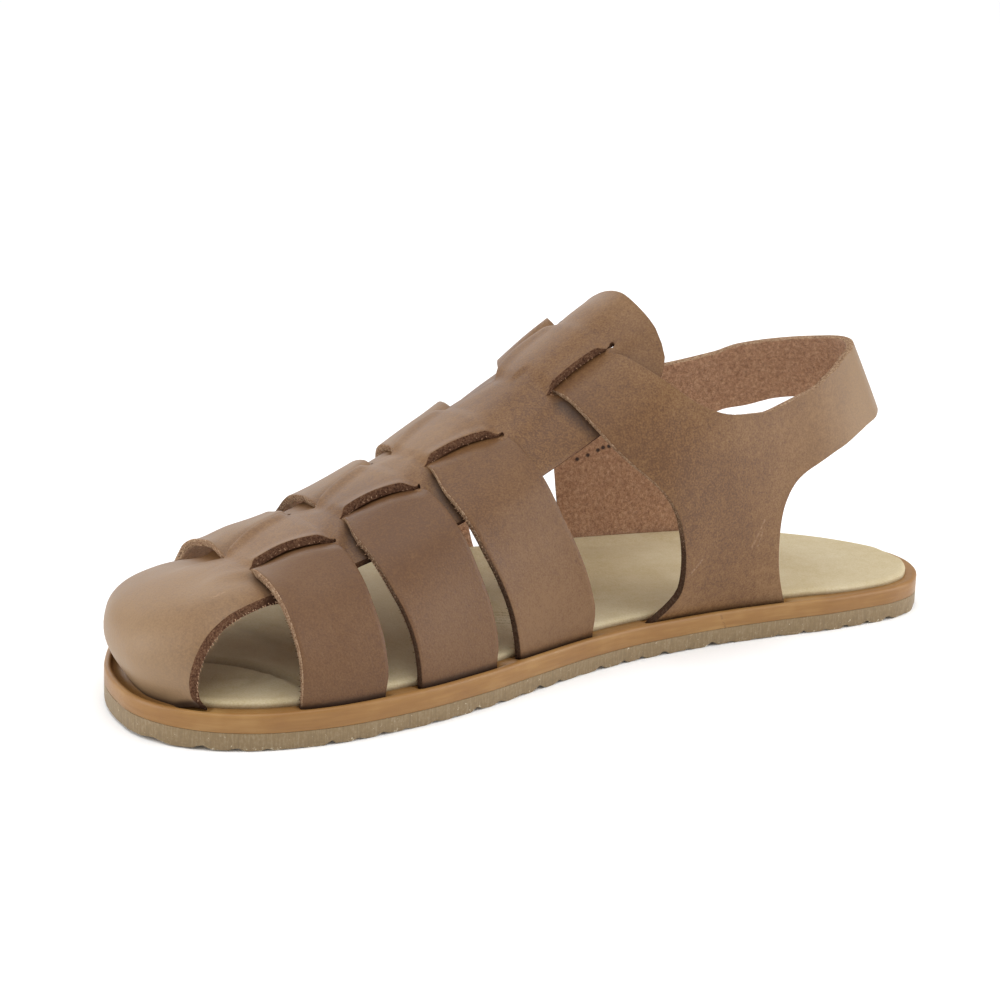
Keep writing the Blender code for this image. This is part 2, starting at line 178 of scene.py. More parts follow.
outlineTurns = [turnAt(row[0]) for row in soleOutline]
halfWidth = {
    1: curveThrough(outlineTurns, [row[1] for row in soleOutline]),
    -1: curveThrough(outlineTurns, [-row[2] for row in soleOutline]),
}
ridgeY, ridgeZ, squareness, roll, innerBulge, outerBulge = columns(lastShape)


def soleEdge(side, turn, inset):  # plan point of the sole edge, moved in
    turn = np.asarray(turn, float)

    def at(angle):
        angle = np.clip(angle, 0.0, math.pi)
        return np.stack([stationAt(angle), halfWidth[side](angle)], -1)

    step = 0.01
    along = unit(at(turn + step) - at(turn - step))
    outward = np.stack([-along[..., 1], along[..., 0]], -1) * side
    return at(turn) - np.broadcast_to(inset, turn.shape)[..., None] * outward


def spring(x):
    reach = np.maximum(x - shoe["springStart"], 0.0) / (shoe["length"] - shoe["springStart"])
    return shoe["toeSpring"] * reach * reach


def soleTop(x):
    return shoe["soleTop"] + spring(x)


# the last as a table of sections: turn along the sole by distance from the ridge
formTurns = np.linspace(0, math.pi, 601)
formStep = 0.5
formReach = np.arange(0, 130, formStep)
arcSteps = 60


def formSide(side):
    station = stationAt(formTurns)
    pivot = np.clip(station, shoe["heelPivot"], shoe["toePivot"])
    ridge = np.stack([pivot, ridgeY(pivot)], -1)
    rim = soleEdge(side, formTurns, shoe["rimInset"] + shoe["toeInset"] * ease(station, *shoe["toeRim"]))
    out = rim - ridge
    away = unit(out)
    foot = soleTop(rim[:, 0])[:, None]
    bulge = (innerBulge if side > 0 else outerBulge)(station)[:, None]
    power = 2 / squareness(station)[:, None]
    angle = np.linspace(0, math.pi / 2, arcSteps + 1)[None]
    reach = np.sin(angle) ** power
    height = np.cos(angle) ** power
    fullest = height ** (1 + shoe["toeSkew"] * ease(station, *shoe["toeNose"])[:, None])
    swell = bulge * 4 * fullest * (1 - fullest)
    plan = ridge[:, None] + reach[..., None] * out[:, None] + swell[..., None] * away[:, None]
    rise = foot + (ridgeZ(station)[:, None] - foot) * height
    rise = rise + 2 * side * roll(station)[:, None] * reach * height
    points = np.concatenate([plan, rise[..., None]], -1)
    end = unit(points[:, -1] - points[:, -2])
    points = np.concatenate([points, (points[:, -1] + shoe["tail"] * end)[:, None]], 1)
    lengths = np.linalg.norm(np.diff(points, axis=1), axis=-1).cumsum(1)
    lengths = np.concatenate([np.zeros((len(lengths), 1)), lengths], 1)
    table = np.empty((len(station), len(formReach), 3))
    for i in range(len(station)):
        for k in range(3):
            table[i, :, k] = np.interp(formReach, lengths[i], points[i, :, k])
    return {"table": table, "girth": lengths[:, arcSteps]}


form = {side: formSide(side) for side in (1, -1)}
print("last drawn")


def girth(side, turn):
    return np.interp(turn, formTurns, form[side]["girth"])


def readForm(side, turn, distance):
    table = form[side]["table"]
    i = np.clip(np.asarray(turn) / math.pi * (len(formTurns) - 1), 0, len(formTurns) - 1.001)
    j = np.clip(np.asarray(distance) / formStep, 0, len(formReach) - 1.001)
    i0 = i.astype(int)
    j0 = j.astype(int)
    a = (i - i0)[..., None]
    b = (j - j0)[..., None]
    near = table[i0, j0] * (1 - b) + table[i0, j0 + 1] * b
    far = table[i0 + 1, j0] * (1 - b) + table[i0 + 1, j0 + 1] * b
    return near * (1 - a) + far * a


toeTurn = turnAt(shoe["toePivot"])
toeGirth = {side: float(girth(side, toeTurn)) for side in (1, -1)}


def onLast(station, across):      # point of the last under a spot of the flat pattern
    station = np.asarray(station, float)
    spots = []
    for side in (1, -1):
        distance = np.maximum(across * side, 0.0)
        forward = (station - shoe["toePivot"]) / shoe["toeReach"]
        sideways = distance / toeGirth[side]
        fan = np.arctan2(sideways, np.maximum(forward, 1e-9)) / (math.pi / 2)
        fanTurn = math.pi - fan * (math.pi - toeTurn)
        ahead = forward > 0
        turn = np.where(ahead, fanTurn, turnAt(np.minimum(station, shoe["toePivot"])))
        distance = np.where(ahead, np.hypot(forward, sideways) * girth(side, turn), distance)
        spots.append(readForm(side, turn, distance))
    return np.where((np.asarray(across) >= 0)[..., None], spots[0], spots[1])


def aroundHeel(signed, distance):  # the last by station, inner side positive
    turn = turnAt(np.abs(signed))
    inner = readForm(1, turn, np.maximum(distance, 0.0))
    outer = readForm(-1, turn, np.maximum(distance, 0.0))
    return np.where((np.asarray(signed) >= 0)[..., None], inner, outer)


def lifted(place, u, v, level):   # point at a level over the surface place(u, v)
    step = 0.7
    along = place(u + step, v) - place(u - step, v)
    across = place(u, v + step) - place(u, v - step)
    return place(u, v) + np.asarray(level)[..., None] * unit(np.cross(along, across))


def metres(points):
    points = np.asarray(points, float)
    return (points - np.array([shoe["middle"][0], shoe["middle"][1], 0.0])) * mm


def addObject(name, data):
    item = bpy.data.objects.new(name, data)
    bpy.context.scene.collection.objects.link(item)
    return item


def newPiece(name, bm, node, finishes):
    mesh = bpy.data.meshes.new(name)
    bm.to_mesh(mesh)
    bm.free()
    piece = addObject(name, mesh)
    for finish in finishes:
        mesh.materials.append(finish)
    for face in mesh.polygons:
        face.use_smooth = True
    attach(piece, "root")
    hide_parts(node)
    return piece


def grid(rows, cols):             # flat grid whose vertices know their row and column
    bm = bmesh.new()
    bmesh.ops.create_grid(bm, x_segments=rows, y_segments=cols, size=1.0)
    rowOf = np.array([round((v.co.x + 1) / 2 * rows) for v in bm.verts])
    colOf = np.array([round((v.co.y + 1) / 2 * cols) for v in bm.verts])
    return bm, rowOf, colOf


def settle(bm, points):
    for vert, point in zip(bm.verts, metres(points)):
        vert.co = point


def thicken(bm):                  # draws the sheet out and returns the new vertices
    drawn = bmesh.ops.extrude_face_region(bm, geom=bm.faces[:])["geom"]
    return [item for item in drawn if isinstance(item, bmesh.types.BMVert)]


fibreSpots = []                   # where fibres stand out: point, direction, length, how much painted shade darkens them
fibreHeights = (18.0, 30.0)       # painted shade on them fades out between these heights


def fray(place, rim, u, v, level, du, dv, length, keep, dark=0.0):
    u, v, level, dv = u[rim], v[rim], level[rim], np.broadcast_to(dv, np.shape(u))[rim]
    points = lifted(place, u, v, level)
    ahead = lifted(place, u + du, v + dv, level) - points
    # painted shade on fibres low down
    low = dark * (1 - ease(points[:, 2], *fibreHeights))
    for k in np.flatnonzero(dice.random(len(points)) < keep):
        fibreSpots.append((points[k], unit(ahead[k]), length, low[k]))


def softEdges(piece, width, degrees):
    bevel = piece.modifiers.new("soft edges", "BEVEL")
    bevel.width = width * mm
    bevel.segments = 2
    bevel.limit_method = "ANGLE"
    bevel.angle_limit = math.radians(degrees)


def leatherPiece(name, bm, place, u, v, level, finishes, wearAndLight, shade=0.0, skiveV=0.0):
    # flesh side on the last, grain side one thickness out, raw edge between them
    fleshPoints = lifted(place, u, v, level)
    settle(bm, fleshPoints)
    # painted shade: a dark line where the leather goes into the band, plus the shade passed in
    foot = 1 - ease(fleshPoints[:, 2] - soleTop(fleshPoints[:, 0]), *shoe["footShade"])
    dark = np.maximum(foot, shade)
    grainPoints = metres(lifted(place, u, v + skiveV, level + shoe["leather"]))
    spot = bm.verts.layers.int.new("spot")
    wearAndLightLayer = bm.verts.layers.float.new("wearAndLight")
    darkLayer = bm.verts.layers.float.new("dark")
    for k, vert in enumerate(bm.verts):
        vert[spot] = k
        vert[wearAndLightLayer] = float(wearAndLight[k])
        vert[darkLayer] = float(dark[k])
    grainVerts = set(thicken(bm))
    for vert in grainVerts:
        vert.co = grainPoints[vert[spot]]
    for face in bm.faces:
        outside = sum(vert in grainVerts for vert in face.verts)
        face.material_index = 0 if outside == len(face.verts) else (2 if outside else 1)
    bm.verts.layers.int.remove(spot)
    bmesh.ops.recalc_face_normals(bm, faces=bm.faces[:])
    piece = newPiece(name, bm, "upper", finishes)
    softEdges(piece, *shoe["leatherEdge"])
    return piece


# shader helpers
def put(tree, kind, sockets=None, **settings):
    node = tree.nodes.new(kind)
    for name, value in settings.items():
        setattr(node, name, value)
    for name, value in (sockets or {}).items():
        if isinstance(value, bpy.types.NodeSocket):
            tree.links.new(value, node.inputs[name])
        else:
            node.inputs[name].default_value = value
    return node


def ramp(tree, factor, stops):
    node = put(tree, "ShaderNodeValToRGB", {"Fac": factor})
    marks = node.color_ramp.elements
    while len(marks) < len(stops):
        marks.new(0.5)
    for mark, (place, colour) in zip(marks, stops):
        mark.position = place
        mark.color = (*colour, 1.0)
    return node.outputs["Color"]


def mixColour(tree, factor, a, b):
    a, b = ((*colour, 1.0) if isinstance(colour, tuple) else colour for colour in (a, b))
    return put(tree, "ShaderNodeMix", {0: factor, 6: a, 7: b}, data_type="RGBA").outputs[2]


def math2(tree, operation, a, b, clamp=False):
    return put(tree, "ShaderNodeMath", {0: a, 1: b}, operation=operation, use_clamp=clamp).outputs[0]


def spread(tree, value, low, high, newLow=0.0, newHigh=1.0):
    return put(tree, "ShaderNodeMapRange", {
        "Value": value, "From Min": low, "From Max": high, "To Min": newLow, "To Max": newHigh,
    }).outputs["Result"]


def blend(tree, a, shareA, b, shareB):
    return math2(tree, "ADD", math2(tree, "MULTIPLY", a, shareA), math2(tree, "MULTIPLY", b, shareB))


def noise(tree, where, scale, detail, roughness=0.5, distortion=0.0):
    return put(tree, "ShaderNodeTexNoise", {
        "Vector": where, "Scale": scale, "Detail": detail, "Roughness": roughness, "Distortion": distortion,
    }).outputs


def vectors(tree, operation, a, b):
    return put(tree, "ShaderNodeVectorMath", {0: a, 1: b}, operation=operation).outputs


def ownValue(tree, name):         # attribute of the piece's mesh
    return put(tree, "ShaderNodeAttribute", attribute_name=name).outputs["Fac"]


def rgb(r, g, b):                 # from 0-255 display values
    def linear(c):
        c /= 255
        return c / 12.92 if c <= 0.04045 else ((c + 0.055) / 1.055) ** 2.4
    return (linear(r), linear(g), linear(b))


def newGroup(name, inputs, outputs):
    group = bpy.data.node_groups.new(name, "ShaderNodeTree")
    for label, kind, start in inputs:
        socket = group.interface.new_socket(label, in_out="INPUT", socket_type=kind)
        if start is not None:
            socket.default_value = start
    for label, kind in outputs:
        group.interface.new_socket(label, in_out="OUTPUT", socket_type=kind)
    return group, group.nodes.new("NodeGroupInput"), group.nodes.new("NodeGroupOutput")


def makeGrain():                  # fine leather grain: pores, a soft pebble and a slow mottle
    group, come, go = newGroup("leatherGrain", [
        ("Vector", "NodeSocketVector", None),
        ("Pebble", "NodeSocketFloat", 1.5),
        ("Mottle", "NodeSocketFloat", 0.06),
    ], [("Height", "NodeSocketFloat"), ("Tone", "NodeSocketFloat"), ("Mottle", "NodeSocketFloat")])
    where = come.outputs["Vector"]
    cells = put(group, "ShaderNodeTexVoronoi", {"Vector": where, "Scale": come.outputs["Pebble"]},
                feature="SMOOTH_F1").outputs["Distance"]
    fine = noise(group, where, 2.7, 4.0, 0.65)["Fac"]
    mid = noise(group, where, 0.7, 3.0)["Fac"]
    slow = noise(group, where, come.outputs["Mottle"], 3.0, 0.55)["Fac"]
    group.links.new(blend(group, cells, 0.5, fine, 1.0), go.inputs["Height"])
    group.links.new(blend(group, fine, 0.75, mid, 0.25), go.inputs["Tone"])
    group.links.new(slow, go.inputs["Mottle"])
    return group


def makeNap():                    # torn fibres: clumps and hairs
    group, come, go = newGroup("fibreNap", [
        ("Vector", "NodeSocketVector", None),
        ("Clump", "NodeSocketFloat", 0.8),
    ], [("Height", "NodeSocketFloat"), ("Tone", "NodeSocketFloat")])
    where = come.outputs["Vector"]
    bent = vectors(group, "ADD", where, noise(group, where, 0.5, 2.0)["Color"])["Vector"]
    clump = noise(group, bent, come.outputs["Clump"], 5.0, 0.7)["Fac"]
    hair = noise(group, bent, 3.6, 3.0, distortion=1.6)["Fac"]
    height = blend(group, clump, 1.0, hair, 0.6)
    group.links.new(height, go.inputs["Height"])
    group.links.new(spread(group, height, 0.55, 1.05), go.inputs["Tone"])
    return group


def makeScratch():                # thin broken line between two points
    group, come, go = newGroup("scratchLine", [
        ("Vector", "NodeSocketVector", None),
        ("From", "NodeSocketVector", None),
        ("To", "NodeSocketVector", None),
        ("Width", "NodeSocketFloat", 0.3),
    ], [("Mask", "NodeSocketFloat")])
    where, start, end, width = (come.outputs[name] for name in ("Vector", "From", "To", "Width"))
    reach = vectors(group, "SUBTRACT", where, start)["Vector"]
    line = vectors(group, "SUBTRACT", end, start)["Vector"]
    onto = vectors(group, "DOT_PRODUCT", reach, line)["Value"]
    full = vectors(group, "DOT_PRODUCT", line, line)["Value"]
    share = math2(group, "DIVIDE", onto, full, clamp=True)
    foot = put(group, "ShaderNodeVectorMath", {0: line, "Scale": share}, operation="SCALE")
    off = vectors(group, "DISTANCE", reach, foot.outputs["Vector"])["Value"]
    near = math2(group, "SUBTRACT", 1.0, math2(group, "DIVIDE", off, width), clamp=True)
    gaps = spread(group, noise(group, where, 2.5, 2.0)["Fac"], 0.4, 0.6)
    group.links.new(math2(group, "MULTIPLY", near, gaps), go.inputs["Mask"])
    return group


scratchGroup = makeScratch()
grainGroup = makeGrain()
napGroup = makeNap()


def newFinish(name, roughness, specular):
    finish = bpy.data.materials.new(name)
    finish.use_nodes = True
    tree = finish.node_tree
    shader = tree.nodes["Principled BSDF"]
    shader.inputs["Roughness"].default_value = roughness
    shader.inputs["Specular IOR Level"].default_value = specular
    coords = put(tree, "ShaderNodeTexCoord")
    inMm = put(tree, "ShaderNodeMapping", {"Vector": coords.outputs["Object"], "Scale": (1 / mm,) * 3})
    return finish, tree, shader, inMm.outputs["Vector"]


def useGroup(tree, group, sockets):
    return put(tree, "ShaderNodeGroup", sockets, node_tree=group)


def dress(tree, shader, colour, height, strength, distance):
    tree.links.new(colour, shader.inputs["Base Color"])
    node = put(tree, "ShaderNodeBump", {"Height": height, "Strength": strength, "Distance": distance * mm})
    tree.links.new(node.outputs["Normal"], shader.inputs["Normal"])


grainSide = {
    "deep": rgb(88, 58, 34),
    "brown": rgb(111, 78, 45),
    "light": rgb(127, 95, 61),
    # paler colour for wear and for painted light
    "rubbedAndLit": rgb(152, 128, 100),
    "scratched": rgb(176, 144, 116),
    # colour of the painted shade at the leather's foot and before the straps
    "dark": rgb(40, 25, 17),
    "scratches": [                # from, to and width in mm from the origin
        ((-40.0, 23.0, 19.9), (-42.9, 22.9, 25.4), 0.35),
        ((-41.6, 22.8, 20.0), (-42.6, 22.9, 23.3), 0.3),
        ((-24.3, 24.2, 16.6), (-26.9, 24.4, 19.4), 0.4),
        ((77.9, 22.2, 25.4), (75.6, 21.8, 26.1), 0.45),
    ],
}


def makeGrainSide():
    finish, tree, shader, where = newFinish("oiled_brown_leather", 0.5, 0.35)
    grain = useGroup(tree, grainGroup, {"Vector": where, "Pebble": 1.9, "Mottle": 0.03})
    tone = blend(tree, grain.outputs["Tone"], 0.65, grain.outputs["Mottle"], 0.35)
    colour = ramp(tree, tone, [
        (0.4, grainSide["deep"]), (0.5, grainSide["brown"]), (0.6, grainSide["light"])])
    # paler with wear and painted light, deeper with painted shade
    wearAndLight = ownValue(tree, "wearAndLight")
    colour = mixColour(tree, math2(tree, "MULTIPLY", wearAndLight, -1.0), colour, grainSide["deep"])
    colour = mixColour(tree, wearAndLight, colour, grainSide["rubbedAndLit"])
    marks = 0.0
    for start, end, width in grainSide["scratches"]:
        mark = useGroup(tree, scratchGroup, {"Vector": where, "From": start, "To": end, "Width": width})
        marks = math2(tree, "MAXIMUM", mark.outputs["Mask"], marks)
    colour = mixColour(tree, math2(tree, "MULTIPLY", marks, 0.4), colour, grainSide["scratched"])
    # painted shade at the foot and before the straps
    dark = math2(tree, "MULTIPLY", ownValue(tree, "dark"), 0.9)
    colour = mixColour(tree, dark, colour, grainSide["dark"])
    tree.links.new(spread(tree, grain.outputs["Tone"], 0.3, 0.7, 0.4, 0.56), shader.inputs["Roughness"])
    dress(tree, shader, colour, grain.outputs["Height"], 0.35, 0.12)
    return finish


fleshSide = {
    "dark": rgb(140, 100, 74),
    "brown": rgb(181, 137, 105),
    "pale": rgb(213, 172, 138),
    "pit": rgb(58, 38, 28),
    "pinholes": [                 # needle holes on the outer stem, in mm from the origin, painted as spots of shade
        (-30.4, -28.3, 26.3),
        (-32.5, -27.4, 27.2),
        (-34.5, -26.6, 28.3),
        (-35.5, -26.2, 28.9),
        (-36.7, -25.7, 29.2),
    ],
}


def makeFleshSide():
    finish, tree, shader, where = newFinish("suede_flesh_side", 0.95, 0.15)
    nap = useGroup(tree, napGroup, {"Vector": where, "Clump": 1.4})
    colour = ramp(tree, nap.outputs["Tone"], [
        (0.1, fleshSide["dark"]), (0.5, fleshSide["brown"]), (0.95, fleshSide["pale"])])
    # pinholes painted as dark spots of shade
    pits = 0.0
    for pinhole in fleshSide["pinholes"]:
        away = vectors(tree, "DISTANCE", where, pinhole)["Value"]
        pits = math2(tree, "MAXIMUM", spread(tree, away, 0.6, 0.3), pits)
    colour = mixColour(tree, pits, colour, fleshSide["pit"])
    shader.inputs["Sheen Weight"].default_value = 0.25
    shader.inputs["Sheen Roughness"].default_value = 0.6
    dress(tree, shader, colour, nap.outputs["Height"], 0.8, 0.5)
    return finish


def cutTones(dark, brown, pale, shade):
    return {"dark": rgb(*dark), "brown": rgb(*brown), "pale": rgb(*pale), "shade": shade}


cutSides = {                      # raw edges, and how far painted shade darkens them near the sole; the toe strap's edge, lit from the toe side, has none
    "vamp": cutTones((66, 43, 31), (98, 68, 50), (132, 100, 76), 0.0),
    "toe_strap": cutTones((112, 82, 60), (160, 128, 100), (206, 180, 150), 0.0),
    "strap": cutTones((104, 76, 56), (152, 120, 92), (204, 178, 148), 0.85),
}
cutShade = {"colour": rgb(58, 37, 26), "heights": (36.0, 22.0)}


def makeCutSide(name):
    tones = cutSides[name]
    finish, tree, shader, where = newFinish(name + "_cut_edge", 0.95, 0.12)
    nap = useGroup(tree, napGroup, {"Vector": where, "Clump": 2.2})
    colour = ramp(tree, nap.outputs["Tone"], [
        (0.15, tones["dark"]), (0.5, tones["brown"]), (0.9, tones["pale"])])
    # painted shade lower down, with the piece's painted dark lines
    height = put(tree, "ShaderNodeSeparateXYZ", {"Vector": where}).outputs["Z"]
    low = spread(tree, height, *cutShade["heights"], 0.0, tones["shade"])
    dark = math2(tree, "MAXIMUM", low, ownValue(tree, "dark"))
    colour = mixColour(tree, dark, colour, cutShade["colour"])
    dress(tree, shader, colour, nap.outputs["Height"], 0.9, 0.4)
    return finish


sockSide = {
    "shade": rgb(172, 153, 114),
    "cream": rgb(187, 172, 139),
    "pale": rgb(199, 187, 158),
    "foldShade": rgb(80, 65, 42),
    "creaseWidth": 0.55,
    "creaseDark": 0.55,
    "creases": [                  # painted shade in fine creases under the gap before the instep strap, from and to in mm
        ((10.2, 6.4, 8.1), (5.4, 9.3, 8.1)),
        ((10.8, 7.8, 8.1), (6.6, 10.7, 8.1)),
        ((11.8, 9.4, 8.1), (7.0, 11.8, 8.1)),
        ((12.4, 10.4, 8.1), (8.4, 13.2, 8.1)),
        ((13.4, 12.0, 8.1), (8.8, 14.4, 8.1)),
    ],
}


def makeSockSide():
    finish, tree, shader, where = newFinish("cream_sock_leather", 0.78, 0.25)
    grain = useGroup(tree, grainGroup, {"Vector": where, "Pebble": 1.2, "Mottle": 0.05})
    tone = blend(tree, grain.outputs["Tone"], 0.5, grain.outputs["Mottle"], 0.5)
    colour = ramp(tree, tone, [
        (0.35, sockSide["shade"]), (0.5, sockSide["cream"]), (0.66, sockSide["pale"])])
    # painted shade in the wrinkles and creases
    foldShade = ownValue(tree, "foldShade")
    for start, end in sockSide["creases"]:
        crease = useGroup(tree, scratchGroup, {
            "Vector": where, "From": start, "To": end, "Width": sockSide["creaseWidth"]})
        mark = math2(tree, "MULTIPLY", crease.outputs["Mask"], sockSide["creaseDark"])
        foldShade = math2(tree, "MAXIMUM", mark, foldShade)
    colour = mixColour(tree, foldShade, colour, sockSide["foldShade"])
    dress(tree, shader, colour, grain.outputs["Height"], 0.4, 0.2)
    return finish


tanBand = {
    "dark": rgb(129, 89, 44),
    "tan": rgb(141, 101, 52),
    "pale": rgb(159, 121, 70),
    "seam": rgb(84, 54, 28),
    "joint": ((-33.7, 22.9, 6.4), (-35.2, 22.9, 2.9)),   # butt joint at the inner waist
    "jointWidth": 0.45,
}


def makeTanBand():
    finish, tree, shader, where = newFinish("tan_edge_band", 0.42, 0.4)
    long = put(tree, "ShaderNodeMapping", {"Vector": where, "Scale": (0.12, 0.12, 1.4)})
    streak = noise(tree, long.outputs["Vector"], 1.0, 4.0)["Fac"]
    grain = useGroup(tree, grainGroup, {"Vector": where, "Pebble": 2.4, "Mottle": 0.08})
    tone = blend(tree, streak, 0.4, grain.outputs["Mottle"], 0.6)
    colour = ramp(tree, tone, [(0.3, tanBand["dark"]), (0.5, tanBand["tan"]), (0.7, tanBand["pale"])])
    start, end = tanBand["joint"]
    joint = useGroup(tree, scratchGroup, {
        "Vector": where, "From": start, "To": end, "Width": tanBand["jointWidth"]})
    colour = mixColour(tree, joint.outputs["Mask"], colour, tanBand["seam"])
    tree.links.new(spread(tree, grain.outputs["Tone"], 0.3, 0.7, 0.36, 0.5), shader.inputs["Roughness"])
    dress(tree, shader, colour, grain.outputs["Height"], 0.2, 0.08)
    return finish


crepeSole = {
    "dark": rgb(116, 98, 72),
    "grey": rgb(126, 105, 74),
    "pale": rgb(139, 122, 95),
    "fleck": rgb(204, 192, 166),
}


def makeCrepeSole():
    finish, tree, shader, where = newFinish("crepe_rubber", 0.55, 0.4)
    up = put(tree, "ShaderNodeMapping", {"Vector": where, "Scale": (2.4, 2.4, 0.25)})
    streak = noise(tree, up.outputs["Vector"], 1.3, 4.0)["Fac"]
    speck = noise(tree, where, 1.6, 5.0, 0.7)["Fac"]
    tone = blend(tree, streak, 0.5, speck, 0.5)
    colour = ramp(tree, tone, [
        (0.36, crepeSole["dark"]), (0.5, crepeSole["grey"]), (0.66, crepeSole["pale"])])
    height = put(tree, "ShaderNodeSeparateXYZ", {"Vector": where}).outputs["Z"]
    crumbs = spread(tree, height, 0.9, 0.2, 0.0, 0.08)   # more of them along the floor
    torn = math2(tree, "ADD", noise(tree, where, 0.9, 4.0, 0.8)["Fac"], crumbs)
    colour = mixColour(tree, spread(tree, torn, 0.65, 0.7), colour, crepeSole["fleck"])
    dress(tree, shader, colour, tone, 0.35, 0.3)
    return finish


grainFinish = makeGrainSide()
fleshFinish = makeFleshSide()
vampFinishes, toeFinishes, strapFinishes = (
    [grainFinish, fleshFinish, makeCutSide(name)] for name in cutSides)
sockFinish = makeSockSide()
bandFinish = makeTanBand()
rubberFinish = makeCrepeSole()
print("finishes mixed")


# rubber: a rippled slab with an uneven lower edge
rubber = {
    "pitch": 5.5,
    "depth": 0.8,
    "rows": 268,
    "endRows": 20,                # of them, closer together at heel and toe
    "endTurn": 0.05,
    "cols": 14,
    "uneven": (0.12, 0.9, 0.31),  # lower edge: height and two waves along
    "notchDeep": (0.3, 1.3),      # each notch in its own way
    "notchWide": (1.1, 2.0),
    "notchShift": (-0.5, 0.5),
    "toeMargin": 2.0,
    "edge": (0.12, 55.0),
}
rubberTop = columns([
    (0.0, 3.5), (30.0, 3.6), (60.0, 3.4), (98.0, 3.1), (140.0, 3.1), (165.0, 3.3), (184.0, 3.6),
])[0]


def makeRubber():
    bm, rowOf, colOf = grid(rubber["rows"], rubber["cols"])
    pitch, endRows = rubber["pitch"], rubber["endRows"]
    even = np.linspace(pitch, shoe["length"] - pitch, rubber["rows"] + 1 - 2 * endRows)
    ends = stationAt(np.linspace(rubber["endTurn"], turnAt(even[0]), endRows + 1)[:-1])
    turn = turnAt(np.concatenate([ends, even, shoe["length"] - ends[::-1]]))[rowOf]
    share = colOf / rubber["cols"]
    inner = soleEdge(1, turn, 0.0)
    outer = soleEdge(-1, turn, 0.0)
    plan = outer + (inner - outer) * share[:, None]
    x = plan[:, 0]
    height, first, second = rubber["uneven"]
    low = spring(x) + height + height * np.sin(x * first) * np.sin(x * second + 2)
    for notch in np.arange(pitch, shoe["length"] - rubber["toeMargin"], pitch):
        deep = rubber["depth"] * dice.uniform(*rubber["notchDeep"])
        wide = dice.uniform(*rubber["notchWide"])
        shift = dice.uniform(*rubber["notchShift"])
        low = np.maximum(low, spring(x) + deep * (1 - np.abs(x - notch - shift) / wide))
    low = np.where(colOf % rubber["cols"] == 0, low, np.minimum(low, spring(x) + rubber["depth"]))
    settle(bm, np.column_stack([plan, low]))
    for vert in thicken(bm):
        x = vert.co.x / mm + shoe["middle"][0]
        vert.co.z = float(rubberTop(x) + spring(x)) * mm
    bmesh.ops.recalc_face_normals(bm, faces=bm.faces[:])
    piece = newPiece("rubber_outsole", bm, "outsole", [rubberFinish])
    softEdges(piece, *rubber["edge"])
    return piece


# tan band: drawn round the outline, with a lip outside the groove that takes the leather
band = {
    "points": 300,                # on each side
    "profile": [                  # inset, height over the rubber or the sole top, sunk where leather goes in
        (2.0, "rubber", 0.03, 0.0),
        (0.08, "rubber", 0.03, 0.0),
        (0.0, "rubber", 0.12, 0.0),
        (0.0, "top", -0.4, 0.0),
        (0.08, "top", 0.0, 0.0),
        (0.3, "top", 0.24, 0.0),
        (0.65, "top", 0.35, 0.0),
        (1.0, "top", 0.35, 0.05),
        (1.25, "top", 0.32, 0.2),
        (1.32, "top", 0.3, 0.5),
        (1.36, "top", 0.3, 1.0),
        (3.5, "top", 0.1, 0.8),
        (3.8, "top", 0.0, 0.3),
        (4.6, "top", 0.0, 0.0),
        (6.0, "top", 0.0, 0.0),
    ],
    "ramp": 1.2,                  # the groove starts and ends so softly
    "feet": {                     # stations where leather goes in, inner and outer side
        1: [(42.0, 74.5), (88.8, 108.3), (114.6, 133.4), (141.4, 158.0), (175.6, 190.0)],
        -1: [(34.8, 70.0), (83.2, 102.7), (114.6, 133.4), (141.4, 158.0), (175.6, 190.0)],
    },
}


def sunkAt(side, station):
    share = np.zeros(np.shape(station))
    for rear, front in band["feet"][side]:
        share = np.maximum(share, over(station, rear - band["ramp"], rear, front, front + band["ramp"]))
    return share


def soleLoop(inset, count):
    turns = np.linspace(0, math.pi, count + 1)
    inner = soleEdge(1, turns[:-1], inset)
    outer = soleEdge(-1, turns[:0:-1], inset)
    return np.concatenate([inner, outer])


def makeBand():
    bm = bmesh.new()
    loop = bmesh.ops.create_circle(bm, segments=2 * band["points"], radius=1.0)["verts"]
    edges = bm.edges[:]
    turns = np.linspace(0, math.pi, band["points"] + 1)
    sunk = np.concatenate([sunkAt(1, stationAt(turns[:-1])), sunkAt(-1, stationAt(turns[:0:-1]))])
    for k, (inset, level, rise, sink) in enumerate(band["profile"]):
        if k:
            drawn = bmesh.ops.extrude_edge_only(bm, edges=edges)["geom"]
            edges = [item for item in drawn if isinstance(item, bmesh.types.BMEdge)]
            follow = {}
            for edge in edges:
                for vert in edge.verts:
                    follow[vert] = None
            older = {}
            for vert in follow:
                for edge in vert.link_edges:
                    other = edge.other_vert(vert)
                    if other not in follow:
                        older[other] = vert
            loop = [older[vert] for vert in loop]
        plan = soleLoop(inset, band["points"])
        x = plan[:, 0]
        base = rubberTop(x) + spring(x) if level == "rubber" else soleTop(x)
        for vert, point in zip(loop, metres(np.column_stack([plan, base + rise - sink * sunk]))):
            vert.co = point
    bmesh.ops.contextual_create(bm, geom=edges)
    bmesh.ops.contextual_create(bm, geom=[e for e in bm.edges if e.is_boundary])
    bmesh.ops.recalc_face_normals(bm, faces=bm.faces[:])
    return newPiece("tan_band", bm, "midsole", [bandFinish])


